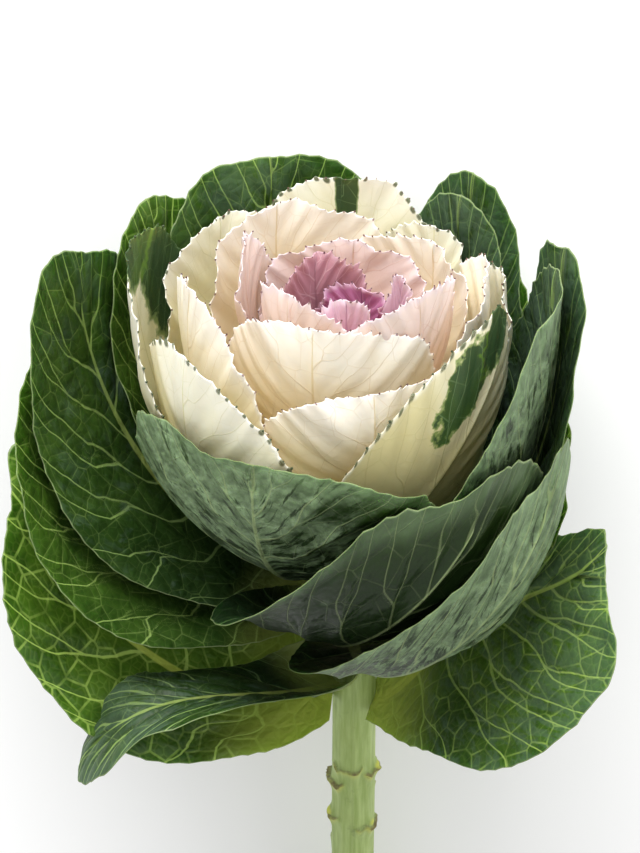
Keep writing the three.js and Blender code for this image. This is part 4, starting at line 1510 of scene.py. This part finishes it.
class CABBAGE_OT_stage(bpy.types.Operator):
    """Adds the floor, the soft lights and the camera"""

    bl_idname = "cabbage.stage"
    bl_label = "Stage"

    def execute(self, context):
        stage = context.scene.cabbage_stage
        floor = bpy.data.meshes.new("floor")
        corners = [(x * FLOOR_HALF, y * FLOOR_HALF, 0)
                   for x, y in ((-1, -1), (1, -1), (1, 1), (-1, 1))]
        floor.from_pydata(corners, [], [(0, 1, 2, 3)])
        floor.materials.append(floor_material())
        add_object("floor", floor)

        lean = stage.elevation - TILT
        right = Vector((1, 0, 0))
        up = Vector((0, math.cos(lean), -math.sin(lean)))
        back = Vector((0, math.sin(lean), math.cos(lean)))
        aim = Vector(ORIGIN) + right * AIM_RIGHT + up * AIM_UP
        data = bpy.data.cameras.new("camera")
        data.sensor_fit = "HORIZONTAL"
        data.sensor_width = PICTURE_WIDTH
        data.lens = stage.lens
        camera = add_object("camera", data)
        turn = Matrix((right, up, back)).transposed().to_4x4()
        camera.matrix_world = Matrix.Translation(aim + back * stage.distance) @ turn
        context.scene.camera = camera

        add_light(**KEY_LIGHT, power=stage.key_power, aim=aim, axes=(right, up, back))
        add_light(**FILL_LIGHT, power=stage.fill_power, aim=aim, axes=(right, up, back))
        world = bpy.data.worlds.new("soft_room")
        world.use_nodes = True
        sky = world.node_tree.nodes["Background"].inputs
        sky["Color"].default_value = (1, 1, 1, 1)
        sky["Strength"].default_value = stage.sky
        context.scene.world = world
        context.scene.view_settings.view_transform = "Standard"
        return {"FINISHED"}


OPERATORS = (CABBAGE_OT_stage, CABBAGE_OT_stem, CABBAGE_OT_heart_leaves, CABBAGE_OT_inner_leaves,
             CABBAGE_OT_cream_leaves, CABBAGE_OT_variegated_leaves, CABBAGE_OT_green_leaves,
             CABBAGE_OT_glands)


class CABBAGE_PT_panel(bpy.types.Panel):
    """Lists the steps that build the cabbage"""

    bl_idname = "CABBAGE_PT_panel"
    bl_label = "Ornamental Cabbage"
    bl_space_type = "VIEW_3D"
    bl_region_type = "UI"
    bl_category = "Cabbage"

    def draw(self, context):
        for operator in OPERATORS:
            self.layout.operator(operator.bl_idname)


CLASSES = (CabbageColours, CabbageStage, *OPERATORS, CABBAGE_PT_panel)


def register():
    """Registers the classes and hangs the settings on the scene."""
    for each in CLASSES:
        bpy.utils.register_class(each)
    bpy.types.Scene.cabbage_colours = PointerProperty(type=CabbageColours)
    bpy.types.Scene.cabbage_stage = PointerProperty(type=CabbageStage)


def unregister():
    """Takes the settings and the classes away again."""
    del bpy.types.Scene.cabbage_stage
    del bpy.types.Scene.cabbage_colours
    for each in reversed(CLASSES):
        bpy.utils.unregister_class(each)


def main():
    """Builds the plant step by step."""
    register()
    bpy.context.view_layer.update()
    GROUPS.update(veins=vein_group(), bloom=bloom_group(), teeth=tooth_group(),
                  blotch=blotch_group())
    for operator in OPERATORS:
        group, name = operator.bl_idname.split(".")
        getattr(getattr(bpy.ops, group), name)()


if __name__ == "__main__":
    main()
